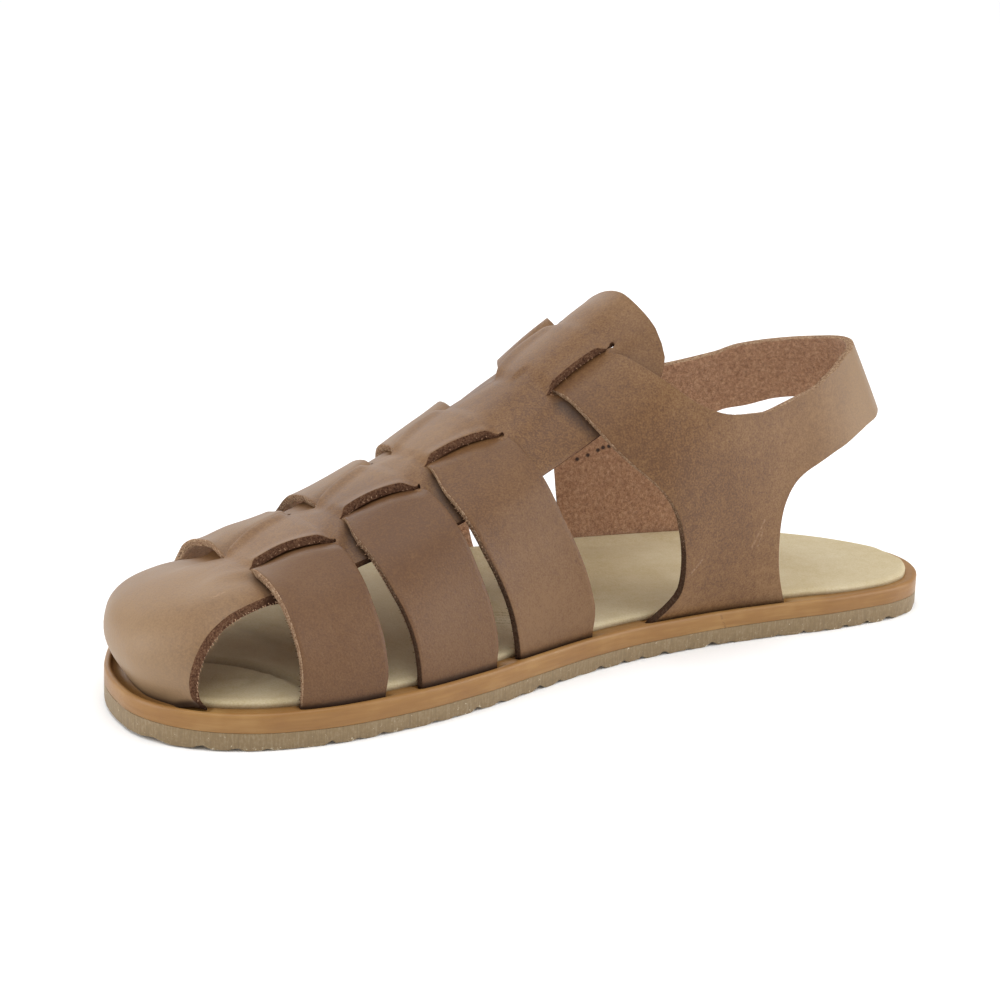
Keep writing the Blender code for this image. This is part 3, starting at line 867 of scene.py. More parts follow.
# insole: soft sheet with rolled edges and a few wrinkles
sock = {
    "rows": 300,
    "cols": 84,
    "endTurn": 0.05,
    "thick": 1.5,
    "inset": 3.9,
    "heelInset": 2.5,
    "change": (22.0, 38.0),       # stations from one inset to the other
    "ends": (2.6, 4.0),           # where the roll ends at heel and toe
    "roll": 1.6,
    "rollDrop": 0.75,
    "cup": 1.1,                   # the outer edge stands up against the quarter
    "cupReach": 6.0,
    "cupAlong": (20.0, 36.0, 92.0, 104.0),
    "wrinkleBend": 0.02,
    "ridges": (0.45, 2.2),        # beside a wrinkle: height and distance, as shares of it
    "foldMost": 0.6,
}
sockWrinkles = [
    # x, y, direction in degrees, length, width, depth
    (159.4, 7.0, 125.0, 30.0, 1.0, 0.7),
    (163.0, 12.0, 160.0, 10.0, 0.8, 0.16),
    (161.0, 14.0, 40.0, 9.0, 0.8, 0.14),
    (158.0, 15.0, 20.0, 9.0, 0.7, 0.14),
    (150.0, -4.0, 118.0, 26.0, 0.9, 0.14),
    (147.0, -6.0, 116.0, 26.0, 0.8, 0.12),
    (144.0, -9.0, 115.0, 24.0, 0.8, 0.12),
    (112.0, 16.0, 70.0, 16.0, 0.7, 0.14),
    (114.0, 15.0, 76.0, 15.0, 0.7, 0.14),
    (116.2, 16.0, 74.0, 14.0, 0.7, 0.12),
    (118.5, 17.0, 80.0, 15.0, 0.8, 0.14),
    (121.5, 17.0, 84.0, 17.0, 0.8, 0.12),
    (136.0, 14.0, 86.0, 18.0, 1.4, 0.16),
    (140.0, 15.0, 92.0, 18.0, 1.2, 0.14),
    (150.0, -10.0, 100.0, 30.0, 2.0, 0.2),
    (128.0, -20.0, 80.0, 26.0, 1.6, 0.16),
]


def makeSock():
    bm, rowOf, colOf = grid(sock["rows"], sock["cols"])
    turn = np.linspace(sock["endTurn"], math.pi - sock["endTurn"], sock["rows"] + 1)[rowOf]
    share = 0.5 - 0.5 * np.cos(math.pi * colOf / sock["cols"])
    inset = sock["heelInset"] + (sock["inset"] - sock["heelInset"]) * ease(stationAt(turn), *sock["change"])
    inner = soleEdge(1, turn, inset)
    outer = soleEdge(-1, turn, inset)
    plan = outer + (inner - outer) * share[:, None]
    x, y = plan.T
    width = np.linalg.norm(inner - outer, axis=1)
    fromEnds = np.minimum(x - sock["ends"][0], shoe["length"] - sock["ends"][1] - x)
    fromEdge = np.minimum(np.minimum(share, 1 - share) * width, np.maximum(fromEnds, 0))
    t = np.clip(fromEdge / sock["roll"], 0, 1)
    rise = sock["thick"] - sock["rollDrop"] * (1 - np.sqrt(1 - (1 - t) ** 2))
    cupped = over(x, *sock["cupAlong"])
    rise = rise + sock["cup"] * cupped * (1 - ease(share * width, 0.0, sock["cupReach"]))
    foldShade = np.zeros(len(x))
    ridge, beside = sock["ridges"]
    for cx, cy, angle, length, wide, depth in sockWrinkles:
        ca = math.cos(math.radians(angle))
        sa = math.sin(math.radians(angle))
        along = (x - cx) * ca + (y - cy) * sa
        off = (y - cy) * ca - (x - cx) * sa + sock["wrinkleBend"] * along ** 2 / max(wide, 1)
        valley = np.exp(-(off / wide) ** 2)
        trough = valley - ridge * np.exp(-((np.abs(off) - beside * wide) / wide) ** 2)
        ends = np.exp(-(along / length * 2) ** 2) * t
        rise = rise - depth * trough * ends
        # painted shade along each wrinkle's valley
        foldShade = np.maximum(foldShade, min(depth, sock["foldMost"]) * valley * ends)
    settle(bm, np.column_stack([x, y, soleTop(x) + rise]))
    foldShadeLayer = bm.verts.layers.float.new("foldShade")
    for vert, value in zip(bm.verts, foldShade):
        vert[foldShadeLayer] = float(value)
    for vert in thicken(bm):
        vert.co.z = float(soleTop(vert.co.x / mm + shoe["middle"][0])) * mm
    bmesh.ops.recalc_face_normals(bm, faces=bm.faces[:])
    return newPiece("sock_insole", bm, "insole", [sockFinish])


# vamp: toe cap, centre strip with slits, side flanges and tongue in one cut
vampCut = [
    # station, half width over the ridge
    (68.1, 12.0),
    (68.3, 15.4),
    (68.7, 18.0),
    (70.4, 20.3),
    (72.5, 21.4),
    (76.0, 22.0),
    (84.0, 21.3),
    (92.0, 21.2),
    (99.0, 21.3),
    (119.0, 20.0),
    (140.0, 16.6),
    (160.0, 17.0),
]
capEdge = [
    # way down the edge, forward of the toe pivot and across, both as shares of the way to the rim
    (0.0, 0.0, 0.45),
    (0.18, 0.132, 0.495),
    (0.31, 0.226, 0.517),
    (0.45, 0.337, 0.54),
    (0.58, 0.439, 0.573),
    (0.7, 0.534, 0.617),
    (0.82, 0.6, 0.668),
    (0.91, 0.632, 0.728),
    (1.0, 0.61, 0.792),
]
slits = {                         # inner and outer side
    # rear station, half distance there, front station, half distance there, bow to the ridge
    1: [
        (77.2, 8.2, 91.6, 8.2, 0.3),
        (103.6, 10.0, 118.8, 5.4, 0.8),
        (122.5, 9.4, 137.8, 4.5, 2.0),
        (142.0, 10.0, 159.0, 6.6, 1.8),
    ],
    -1: [
        (77.2, 10.0, 94.6, 6.0, -3.0),
        (103.6, 11.2, 119.2, 7.2, -2.0),
        (122.5, 10.0, 138.4, 5.0, -1.5),
        (142.0, 9.0, 159.0, 4.4, -1.3),
    ],
}
slitPast = [                      # cut past a slit's ends: rear, front inner, front outer
    (1.5, 3.4, 0.4),
    (0.7, 0.0, 0.0),
    (0.6, 0.0, 0.0),
    (0.3, 0.0, 0.0),
]
slitHole = 0.55                   # radius of the punched end
weave = {
    "low": -0.35,                 # level of what passes below
    "high": 1.3,                  # level of what passes above
    "between": 0.9,               # centre strip between two slits
    "join": 0.5,                  # where strip and flange meet between slits
    "lipUp": {1: 0.35, -1: 0.4},  # strip's edge bends up at a slit
    "lipArch": {1: 0.15, -1: 0.4},  # and more in the middle, where it is also pulled in
    "lipPull": {1: 0.3, -1: 0.0},
    "lipReach": 4.0,
    "joinReach": 5.0,
    "strapUp": {1: (-1.6, 4.4), -1: (-3.0, 3.2)},   # where a strap comes up, from the slit
    "strapDown": (0.5, 11.0),     # and down again, from the vamp's edge
    "tongueWide": 78.0,           # nearer the heel the edge counts as it is here
    "tongueBow": 0.9,             # the tongue's end is hollow over the ridge
    "bowAcross": (2.0, 14.0),
    "bowEnd": 80.0,
    "fade": (67.0, 74.0, 160.0, 174.0),
    "lipDown": 0.6,               # flange's edge bends down
    "flangeReach": 4.5,
    "ramp": 2.4,
    "opening": 0.7,
    "step": 0.9,                  # mesh size along
    "capRows": 46,
    "skive": 0.8,                 # slope of the cut beside the cap, and how much more near the sole
    "lowSkive": 1.5,
    "lipSkive": 0.5,
    "skiveAlong": (140.0, 156.0),
    "skiveAcross": (0.35, 1.0),
    "lowSkiveAt": (0.2, 0.85),
    "lipSkiveAt": (0.6, 1.0),
    "fringeFrom": 158.0,          # fibres stand out beside the cap
    "fringeLevels": (0.0, 0.7),
    "capFringe": (0.55, 0.8),     # length, and share of the edge's points with a fibre
    "slitFringe": (0.4, 0.8),
    "flangeCols": 11,
    "stripCols": 22,
}
vampWearAndShade = {                      # paler with wear, darker with painted shade: by how much, between which stations or distances
    "toe": 0.28,
    "toeAlong": (158, 170),
    "nose": 0.37,
    "noseAlong": (174, 192),
    "crown": 0.06,
    "crownAlong": (96, 112, 138, 150),
    "crownAcross": (-6, 4),
    # painted shade: the tongue's end darker beside the branch's edge
    "tongue": -0.25,
    "tongueAlong": (72, 96),
    "tongueAcross": (2, 12),
    "shade": 0.8,                 # painted shadow in the corner before a strap
    "shadeAlong": (0.0, 2.4),
    "shadeUnder": -3.0,
    "shadeAcross": (0.5, 3.0),
    "branch": (91.0, 0.46, 8.0),  # front edge of the quarter's branch, with painted shadow before it: station, slant, where across
}
vampHalf = columns(vampCut)[0]
capForward, capAcross = columns(capEdge)
slitKeys = {side: [s for row in rows for s in (row[0], row[2])] for side, rows in slits.items()}
slitHalves = {side: [s for row in rows for s in (row[1], row[3])] for side, rows in slits.items()}
slitBow = {side: [row[4] for row in rows] for side, rows in slits.items()}
holeAt = [row[0] - past[0] + slitHole for row, past in zip(slits[1], slitPast)]


def bySide(side, value):
    return np.where(np.asarray(side) >= 0, value(1), value(-1))


def slitWave(side, station, sizes):  # half a wave along each slit
    def wave(k):
        total = np.zeros(np.shape(station))
        for row, size in zip(slits[k], sizes[k]):
            total = total + size * np.sin(math.pi * np.clip((station - row[0]) / (row[2] - row[0]), 0, 1))
        return total
    return bySide(side, wave)


def slitHalf(side, station):
    straight = bySide(side, lambda k: np.interp(station, slitKeys[k], slitHalves[k]))
    return straight - slitWave(side, station, slitBow)


def inSlit(side, station):
    def share(k):
        most = np.zeros(np.shape(station))
        for rear, _, front, _, _ in slits[k]:
            most = np.maximum(most, over(
                station, rear, rear + weave["ramp"], front - weave["ramp"], front))
        return most
    return bySide(side, share)


def lipWave(side, station, name):
    return slitWave(side, station, {k: [weave[name][k]] * 4 for k in (1, -1)})


def stripLevel(side, station, distance):
    slit = slitHalf(side, station)
    lip = bySide(side, lambda k: weave["lipUp"][k]) + lipWave(side, station, "lipArch")
    above = weave["high"] + lip * ease(distance, slit - weave["lipReach"], slit)
    near = ease(distance, slit - weave["joinReach"], slit)
    joined = weave["between"] + (weave["join"] - weave["between"]) * near
    return joined + (above - joined) * inSlit(side, station)


def flangeLevel(side, station, distance):
    slit = slitHalf(side, station)
    away = ease(distance, slit, slit + weave["flangeReach"])
    under = weave["low"] - weave["lipDown"] * (1 - away)
    joined = weave["join"] + (weave["low"] - weave["join"]) * away
    return joined + (under - joined) * inSlit(side, station)


def fade(station):                # the weave's levels die out at the tongue's end and on the toe
    return over(station, *weave["fade"])


def strapLevel(side, station, distance):
    past = distance - slitHalf(side, station)
    up = bySide(side, lambda k: ease(past, *weave["strapUp"][k]))
    down = ease(distance - vampHalf(np.maximum(station, weave["tongueWide"])), *weave["strapDown"])
    level = weave["low"] + (weave["high"] - weave["low"]) * up
    return level * (1 - down)


def capSpot(share, b, start):     # start: share across at the toe pivot
    corner = math.atan2(capEdge[-1][2], capEdge[-1][1])
    back = np.stack([0 * b, start * b], -1)
    front = np.stack([np.cos(corner * b), np.sin(corner * b)], -1)
    side = np.stack([capForward(share), capAcross(share)], -1)
    first = capEdge[0][2]
    chord = np.stack([share * math.cos(corner), first + share * (math.sin(corner) - first)], -1)
    bow = (side - chord) * np.abs(b)[..., None]
    bow = bow * np.stack([np.ones_like(b), np.where(b < 0, -1.0, 1.0)], -1)
    return back * (1 - share)[..., None] + front * share[..., None] + bow


def vampStations():
    keys = [row[0] for row in vampCut[:5]] + [shoe["toePivot"]]
    for side, rows in slits.items():
        for (rear, _, front, _, _), past, hole in zip(rows, slitPast, holeAt):
            keys += [rear + weave["ramp"], front - weave["ramp"], front, front + past[side]]
            keys += [hole + slitHole * k for k in (-1.0, -0.85, -0.5, 0.0, 0.5, 0.85)]
    keys = sorted({round(key, 3) for key in keys})
    stations = []
    for a, b in zip(keys, keys[1:]):
        count = max(1, math.ceil((b - a) / weave["step"]))
        stations += [a + (b - a) * i / count for i in range(count)]
    return np.array(stations + keys[-1:])


def makeVamp():
    stations = vampStations()
    count = len(stations)
    rows = count - 1 + weave["capRows"]
    cols = 2 * weave["flangeCols"] + weave["stripCols"]
    cuts = (weave["flangeCols"], weave["flangeCols"] + weave["stripCols"])
    bm, rowOf, colOf = grid(rows, cols)
    rowLayer = bm.verts.layers.int.new("row")
    colLayer = bm.verts.layers.int.new("col")
    for vert, row, col in zip(bm.verts, rowOf, colOf):
        vert[rowLayer] = int(row)
        vert[colLayer] = int(col)
    slitRows = {}
    for col, side in zip(cuts, (-1, 1)):
        ends = [(row[0] - past[0], row[2] + past[side]) for row, past in zip(slits[side], slitPast)]
        slitRows[col] = [[int(np.argmin(abs(stations - end))) for end in pair] for pair in ends]

    def onSlit(edge):
        low, high = sorted(vert[rowLayer] for vert in edge.verts)
        first, second = (vert[colLayer] for vert in edge.verts)
        return first == second and any(a <= low and high <= b for a, b in slitRows.get(first, []))

    bmesh.ops.split_edges(bm, edges=[edge for edge in bm.edges if onSlit(edge)])
    rowOf = np.array([vert[rowLayer] for vert in bm.verts])
    colOf = np.array([vert[colLayer] for vert in bm.verts])
    middle = np.array([np.mean([c[colLayer] for f in v.link_faces for c in f.verts]) for v in bm.verts])
    onStrip = (middle > cuts[0]) & (middle < cuts[1])
    along = stations[np.minimum(rowOf, count - 1)]
    half = np.array([vampHalf(s) for s in stations])[np.minimum(rowOf, count - 1)]
    flangeShare = np.clip((cuts[0] - colOf) / cuts[0], 0, 1) + np.clip((colOf - cuts[1]) / cuts[0], 0, 1)
    stripShare = np.clip((colOf - cuts[0]) / weave["stripCols"] * 2 - 1, -1, 1)
    slit = slitHalf(stripShare, along)
    inside = inSlit(stripShare, along)
    gap = weave["opening"] / 2 * inside
    for hole in holeAt:
        gap = np.maximum(gap, np.sqrt(np.maximum(slitHole ** 2 - (along - hole) ** 2, 0.0)))
    pulled = gap + lipWave(stripShare, along, "lipPull")
    flange = slit + gap + flangeShare * (half - slit - gap)
    across = np.where(onStrip, stripShare * (slit - pulled), np.sign(stripShare) * flange)
    share = np.clip((rowOf - count + 1) / (weave["capRows"] - 1), 0, 1)
    capWidth = np.where(across >= 0, toeGirth[1], toeGirth[-1])
    toeHalf = vampHalf(shoe["toePivot"])
    spot = capSpot(share, across / toeHalf, toeHalf / capWidth)
    spot = np.where((rowOf == rows)[:, None], spot * (1 + shoe["footTuck"] / shoe["toeReach"]), spot)
    onCap = rowOf >= count
    station = np.where(onCap, shoe["toePivot"] + spot[:, 0] * shoe["toeReach"], along)
    across = np.where(onCap, spot[:, 1] * capWidth, across)
    distance = np.abs(across)
    level = np.where(onStrip, stripLevel(stripShare, along, np.minimum(distance, slit)),
                     flangeLevel(stripShare, along, np.maximum(distance, slit))) * fade(station)
    hollow = (1 - ease(across, *weave["bowAcross"])) * (1 - ease(along, vampCut[0][0], weave["bowEnd"]))
    station = station + weave["tongueBow"] * hollow
    # the cut edges slope: round the opening beside the cap and along the slits
    edge = ease(station, *weave["skiveAlong"]) * ease(flangeShare, *weave["skiveAcross"])
    edge = edge * (1 + weave["lowSkive"] * ease(share, *weave["lowSkiveAt"]))
    lip = inside * onStrip * ease(np.abs(stripShare), *weave["lipSkiveAt"]) * (1 - onCap)
    side = np.sign(across)
    skive = -side * (weave["skive"] * edge + weave["lipSkive"] * lip)
    wild = dice.uniform(*weave["fringeLevels"], len(station))
    beside = (colOf % cols == 0) & (station > weave["fringeFrom"]) & (rowOf < rows - 1)
    lips = onStrip & np.isin(colOf, cuts) & (inside > 0.5) & ~onCap
    for rim, fringe in [(beside, "capFringe")] * 3 + [(lips, "slitFringe")]:
        fray(onLast, rim, station, across, level + wild, 0.0, side, *weave[fringe])
    # painted shadow on the flange before each strap's front edge and before the branch
    way = np.maximum(across, 0.0) / girth(1, turnAt(np.minimum(station, shoe["toePivot"])))
    branch, slant, begin = vampWearAndShade["branch"]
    edges = [strapEdges(cut, way)[0] for cut in straps.values()] + [branch - slant * (across - begin)]
    shade = np.zeros(len(station))
    for front in edges:
        ahead = station - front
        corner = (1 - ease(ahead, *vampWearAndShade["shadeAlong"])) * (ahead > vampWearAndShade["shadeUnder"])
        shade = np.maximum(shade, vampWearAndShade["shade"] * corner)
    near, far = vampWearAndShade["shadeAcross"]
    shade = shade * ease(across, slit + near, slit + far)
    toe = vampWearAndShade["toe"] * ease(station, *vampWearAndShade["toeAlong"])
    toe = toe + vampWearAndShade["nose"] * ease(station, *vampWearAndShade["noseAlong"])
    crown = over(station, *vampWearAndShade["crownAlong"]) * ease(-across, *vampWearAndShade["crownAcross"])
    # painted shade on the tongue's end, beside the branch
    tongue = (1 - ease(station, *vampWearAndShade["tongueAlong"])) * ease(across, *vampWearAndShade["tongueAcross"])
    wearAndLight = np.maximum(toe, vampWearAndShade["crown"] * crown) + vampWearAndShade["tongue"] * tongue
    return leatherPiece("vamp", bm, onLast, station, across, level, vampFinishes, wearAndLight, shade, skiveV=skive)


# cross straps: foot on the inner rim, over the flange, under the strip and out the other side
strapCuts = [
    ("strap_toe", 158.4, 158.8, 142.4, 141.4, 0.7, 1.1, 0.0, 1.9, -0.5, -0.6),
    ("strap_ball", 137.4, 133.4, 122.9, 114.6, 1.1, 2.2, 0.0, 0.6, 0.1, -0.55),
    ("strap_instep", 118.6, 108.3, 104.2, 88.8, 1.6, 2.6, -5.6, 0.1, 0.8, -0.35),
]
strapKeys = ("frontRidge", "frontFoot", "rearRidge", "rearFoot", "belly", "frontBelly", "outerFoot",
             "arch", "rearArch", "wearAndLight")
straps = {name: dict(zip(strapKeys, cut)) for name, *cut in strapCuts}
strapMesh = {
    "rows": 150,
    "cols": 20,
    "bend": 0.2,
    "frontBellyAt": (0.1, 0.32, 0.4, 0.85),   # shares of the way to the foot
    "bellyAt": (0.4, 0.8, 0.86, 1.0),
    "curl": 0.25,                 # the edges curl where the strap is free
    "curlReach": 12.0,
    "footAt": (0.9, 1.0),
    "nearArch": 0.2,
    "archFrom": (1.0, 7.0),       # from the slit
    "archTo": (6.0, 16.0),        # from the vamp's edge
    "frontUp": 1.3,               # the front edge comes up sooner out of the inner slit
    "frontUpAt": (0.6, 1.0),
    "fringeLevels": (0.0, 1.2),
    "frontFringe": (0.42, 0.65, 0.9),   # length, share of points, how much painted shade low down
    "rearFringe": (0.25, 0.7),
    "frontFringeFrom": -4.0,      # from the vamp's edge
    "rearFringeFrom": 3.0,
    # painted sheen: the outer straps paler, where the back light glances off them
    "outerSheen": 0.25,
    "outerSheenAt": (-0.1, 0.3),
}


def strapEdges(cut, way):         # stations at a share of the way to the foot, outer side negative
    bend = strapMesh["bend"]
    far = np.abs(way)
    slant = (np.hypot(way, bend) - bend) / (math.hypot(1, bend) - bend)
    shift = np.where(way < 0, cut["outerFoot"], 0.0)
    front = cut["frontRidge"] + (cut["frontFoot"] + shift - cut["frontRidge"]) * slant
    front = front + np.where(way > 0, cut["frontBelly"], 0.0) * over(far, *strapMesh["frontBellyAt"])
    rear = cut["rearRidge"] + (cut["rearFoot"] + shift - cut["rearRidge"]) * slant
    rear = rear - cut["belly"] * over(far, *strapMesh["bellyAt"])
    return front, rear


def makeStrap(name, cut):
    rows, cols = strapMesh["rows"], strapMesh["cols"]
    bm, rowOf, colOf = grid(rows, cols)
    share = colOf / cols
    way = 1 - 2 * rowOf / rows
    front, rear = strapEdges(cut, way)
    station = rear + (front - rear) * share
    turn = turnAt(station)
    full = np.where(way >= 0, girth(1, turn), girth(-1, turn)) + shoe["footTuck"]
    across = way * full
    distance = np.abs(across)
    sooner = strapMesh["frontUp"] * ease(share, *strapMesh["frontUpAt"]) * (way > 0)
    level = strapLevel(way, station, distance + sooner)
    beyond = distance - vampHalf(station)
    free = ease(beyond, 0.0, strapMesh["curlReach"]) * (1 - ease(np.abs(way), *strapMesh["footAt"]))
    level = level + strapMesh["curl"] * (2 * share - 1) ** 2 * free
    arch = ease(distance - slitHalf(way, station), *strapMesh["archFrom"])
    arch = arch * (1 - ease(beyond, *strapMesh["archTo"]))
    far = cut["rearArch"] + (cut["arch"] - cut["rearArch"]) * share ** 2
    level = level + arch * np.where(way < 0, far, strapMesh["nearArch"] * share ** 2)
    for _ in range(3):
        rim = (share == 1) & (distance > vampHalf(station) + strapMesh["frontFringeFrom"])
        wild = dice.uniform(*strapMesh["fringeLevels"], len(station))
        fray(onLast, rim, station, across, level + wild, 1.0, 0.0, *strapMesh["frontFringe"])
        rim = (share == 0) & (across > vampHalf(station) + strapMesh["rearFringeFrom"])
        fray(onLast, rim, station, across, level + wild, -1.0, 0.0, *strapMesh["rearFringe"])
    # painted sheen on the outer side
    wearAndLight = cut["wearAndLight"] + (strapMesh["outerSheen"] - cut["wearAndLight"]) * ease(-way, *strapMesh["outerSheenAt"])
    finishes = toeFinishes if name == "strap_toe" else strapFinishes
    return leatherPiece(name, bm, onLast, station, across, level, finishes, wearAndLight)


# quarter: stem on the sole, branch into the tongue slit and sling round the heel
footHeight = shoe["soleTop"] - shoe["footTuck"]
quarterCut = [
    # low station, low height, knee, waist, shoulder, top station, top height
    (74.5, footHeight, 68.7, 71.2, 84.1, 91.2, 52.5),
    (58.0, footHeight, 58.0, 66.0, 80.5, 85.2, 56.4),
    (42.0, footHeight, 47.5, 59.5, 76.4, 80.6, 59.2),
    (44.5, 15.0, 48.5, 55.0, 64.5, 70.9, 53.7),
    (44.8, 24.0, 47.0, 51.2, 57.5, 63.8, 49.2),
    (43.4, 28.8, 45.1, 48.1, 52.8, 57.8, 47.5),
    (41.3, 31.6, 42.7, 44.8, 48.2, 51.5, 47.1),
    (36.6, 34.2, 37.7, 39.6, 42.5, 45.5, 47.6),
    (26.6, 37.4, 27.2, 28.4, 30.2, 32.0, 50.9),
    (13.0, 40.5, 13.2, 14.0, 15.0, 16.0, 54.5),
    (0.0, 42.0, 0.0, 0.0, 0.0, 0.0, 56.3),
]
outerRows = [                     # the outer stem: hollower in front, reaching further back
    (74.5, footHeight, 67.9, 68.0, 81.8, 95.6, 50.7),
    (57.0, footHeight, 56.8, 63.2, 78.2, 85.2, 56.4),
    (39.4, footHeight, 45.4, 58.4, 76.2, 80.6, 59.2),
    (41.4, 15.0, 46.0, 53.6, 64.2, 70.9, 53.7),
    (41.8, 24.0, 44.4, 49.6, 57.0, 63.8, 49.2),
    (40.8, 28.8, 42.9, 46.8, 52.3, 57.8, 47.5),
    (38.8, 31.8, 40.6, 43.6, 47.6, 51.5, 47.1),
]
quarter = {
    "outerShift": 4.6,            # the outer stem stands nearer the heel
    "outerHump": 1.2,             # the outer branch arches over the vamp's edge
    "lean": 1.4,                  # the sling's top leans in over the heel
    "leanReach": (10.0, 42.0),
    "riseReach": 20.0,
    "columnAt": (0.0, 0.12, 0.333, 0.667, 1.0),
    "branchStop": 3.0,            # short of the ridge, out of sight
    "steps": 12,
    "cols": 54,
    "evening": 20,
    "humpFrom": (-1, 3),          # from the slit
    "humpTo": (18, 30),           # from the ridge
    "humpAlong": (58, 68, 78, 92),
    # paler towards the heel: wear, and painted light from the heel side
    "heelWearAndLight": 0.5,
    "heelWearAndLightAlong": (8, 46),
    # painted shade on the branch below its top edge
    "branchShade": -0.25,
    "branchShadeAlong": (74, 84),
    # front edge fibres: length, share of points, how much painted shade low down
    "frontFringe": (0.35, 0.8, 0.9),
    "topFringe": (0.25, 0.7),
    "fringeLow": 0.8,             # share of the front edge with fibres
    "fringeTop": (28, 80),        # stations of the inner top edge with fibres
}
# the outer sling's lower and upper edge against the inner one's, by station
outerRise = columns([(0.0, 0.0), (13.0, 0.3), (26.6, 1.3), (36.6, 2.2), (45.0, 1.6), (60.0, 1.6)])[0]
outerTop = columns([(0.0, 0.0), (16.0, -0.5), (32.0, 0.4), (46.0, 0.1), (60.0, 0.0)])[0]


def wayDown(side, turn, height):  # share of the way from ridge to rim at a height
    heights = readForm(side, np.full(len(formReach), turn), formReach)[:, 2]
    return float(np.interp(-height, -heights, formReach) / girth(side, turn))


def cutRow(key):                  # row of the cut, outer side negative, heel at 0
    row = len(quarterCut) - 1 - abs(key)
    return outerRows[row] if key < 0 and row < len(outerRows) else quarterCut[row]


def makeQuarter():
    last = len(quarterCut) - 1
    half = quarter["steps"] * last
    rows, cols = 2 * half, quarter["cols"]
    ends = {"low": ([], []), "top": ([], [])}
    keys = range(-last, last + 1)
    for key in keys:
        side = -1 if key < 0 else 1
        row = cutRow(key)
        lowZ, topZ = row[1], row[6]
        if side < 0:
            lowZ += outerRise(row[0]) * ease(row[1] - footHeight, 0, quarter["riseReach"])
            topZ += outerTop(row[5])
        hidden = quarter["branchStop"] / girth(side, turnAt(row[5]))
        ends["low"][0].append(side * turnAt(row[0]))
        ends["low"][1].append(wayDown(side, turnAt(row[0]), lowZ))
        ends["top"][0].append(side * turnAt(row[5]))
        ends["top"][1].append(max(wayDown(side, turnAt(row[5]), topZ), hidden))

    def curves(kind, part):
        return {name: [kind(keys[part], values[part]) for values in pair] for name, pair in ends.items()}

    soft = curves(splineThrough, slice(2, -2))
    stiff = curves(curveThrough, slice(None))
    middle = [curveThrough(keys, [np.sign(k) * turnAt(cutRow(k)[c]) for k in keys]) for c in (2, 3, 4)]
    share = np.arange(cols + 1) / cols
    stationOf = np.empty((rows + 1, cols + 1))
    wayOf = np.empty((rows + 1, cols + 1))
    for row in range(rows + 1):
        key = (half - row) / quarter["steps"]
        side = 1 if key >= 0 else -1
        shape = soft if abs(key) <= last - 2 else stiff
        low, top = (float(shape[name][0](key)) for name in ("low", "top"))
        lowWay, topWay = (float(shape[name][1](key)) for name in ("low", "top"))
        knots = [abs(t) for t in (low, *(float(f(key)) for f in middle), top)]
        station = stationAt(curveThrough(quarter["columnAt"], knots)(share))
        if side < 0:
            station = station - quarter["outerShift"] * (1 - share) ** 2 * ease(station, 0, shoe["heelPivot"])
        stationOf[row] = station * side
        wayOf[row] = lowWay + (topWay - lowWay) * share
    for sheet in (stationOf, wayOf):  # even out the grid inside the outline
        for _ in range(quarter["evening"]):
            around = sheet[:-2, 1:-1] + sheet[2:, 1:-1] + sheet[1:-1, :-2] + sheet[1:-1, 2:]
            sheet[1:-1, 1:-1] = (sheet[1:-1, 1:-1] + around / 4) / 2
    bm, rowOf, colOf = grid(rows, cols)
    signed = stationOf[rowOf, colOf]
    turn = turnAt(np.abs(signed))
    distance = wayOf[rowOf, colOf] * np.where(signed >= 0, girth(1, turn), girth(-1, turn))
    station = np.abs(signed)
    level = strapLevel(signed, station, distance)
    level = level - quarter["lean"] * colOf / cols * (1 - ease(station, *quarter["leanReach"]))
    hump = ease(distance - slitHalf(signed, station), *quarter["humpFrom"])
    hump = hump * (1 - ease(distance, *quarter["humpTo"])) * over(station, *quarter["humpAlong"])
    level = level + quarter["outerHump"] * hump * (signed < 0)
    # wear and painted light at the heel
    wearAndLight = quarter["heelWearAndLight"] * (1 - ease(station, *quarter["heelWearAndLightAlong"]))
    # painted shade on the inner branch
    wearAndLight = wearAndLight + quarter["branchShade"] * ease(signed, *quarter["branchShadeAlong"])
    start, stop = quarter["fringeTop"]
    wild = dice.uniform(*strapMesh["fringeLevels"], len(station))
    for _ in range(2):
        rim = (rowOf == 0) & (colOf < cols * quarter["fringeLow"])
        fray(aroundHeel, rim, signed, distance, level + wild, 1.0, 0.0, *quarter["frontFringe"])
        rim = (colOf == cols) & (signed > start) & (signed < stop)
        fray(aroundHeel, rim, signed, distance, level + wild, 0.0, -1.0, *quarter["topFringe"])
    return leatherPiece("quarter_sling", bm, aroundHeel, signed, distance, level, strapFinishes, wearAndLight)


makeRubber()
makeBand()
makeSock()
print("sole built")
makeVamp()
for strapName, strapCut in straps.items():
    makeStrap(strapName, strapCut)
makeQuarter()
print("upper built")

# fibres: hair-thin tapers standing out of the raw edges
fibre = {
    "thick": 0.07,
    "tip": 0.015,
    "spread": 0.55,
    "lengths": (0.5, 1.4),
    "out": 0.35,                  # the middle stands out by this share of the length
    "pale": rgb(196, 160, 130),
    # colour of the painted shade on low fibres
    "dark": rgb(62, 38, 26),
}


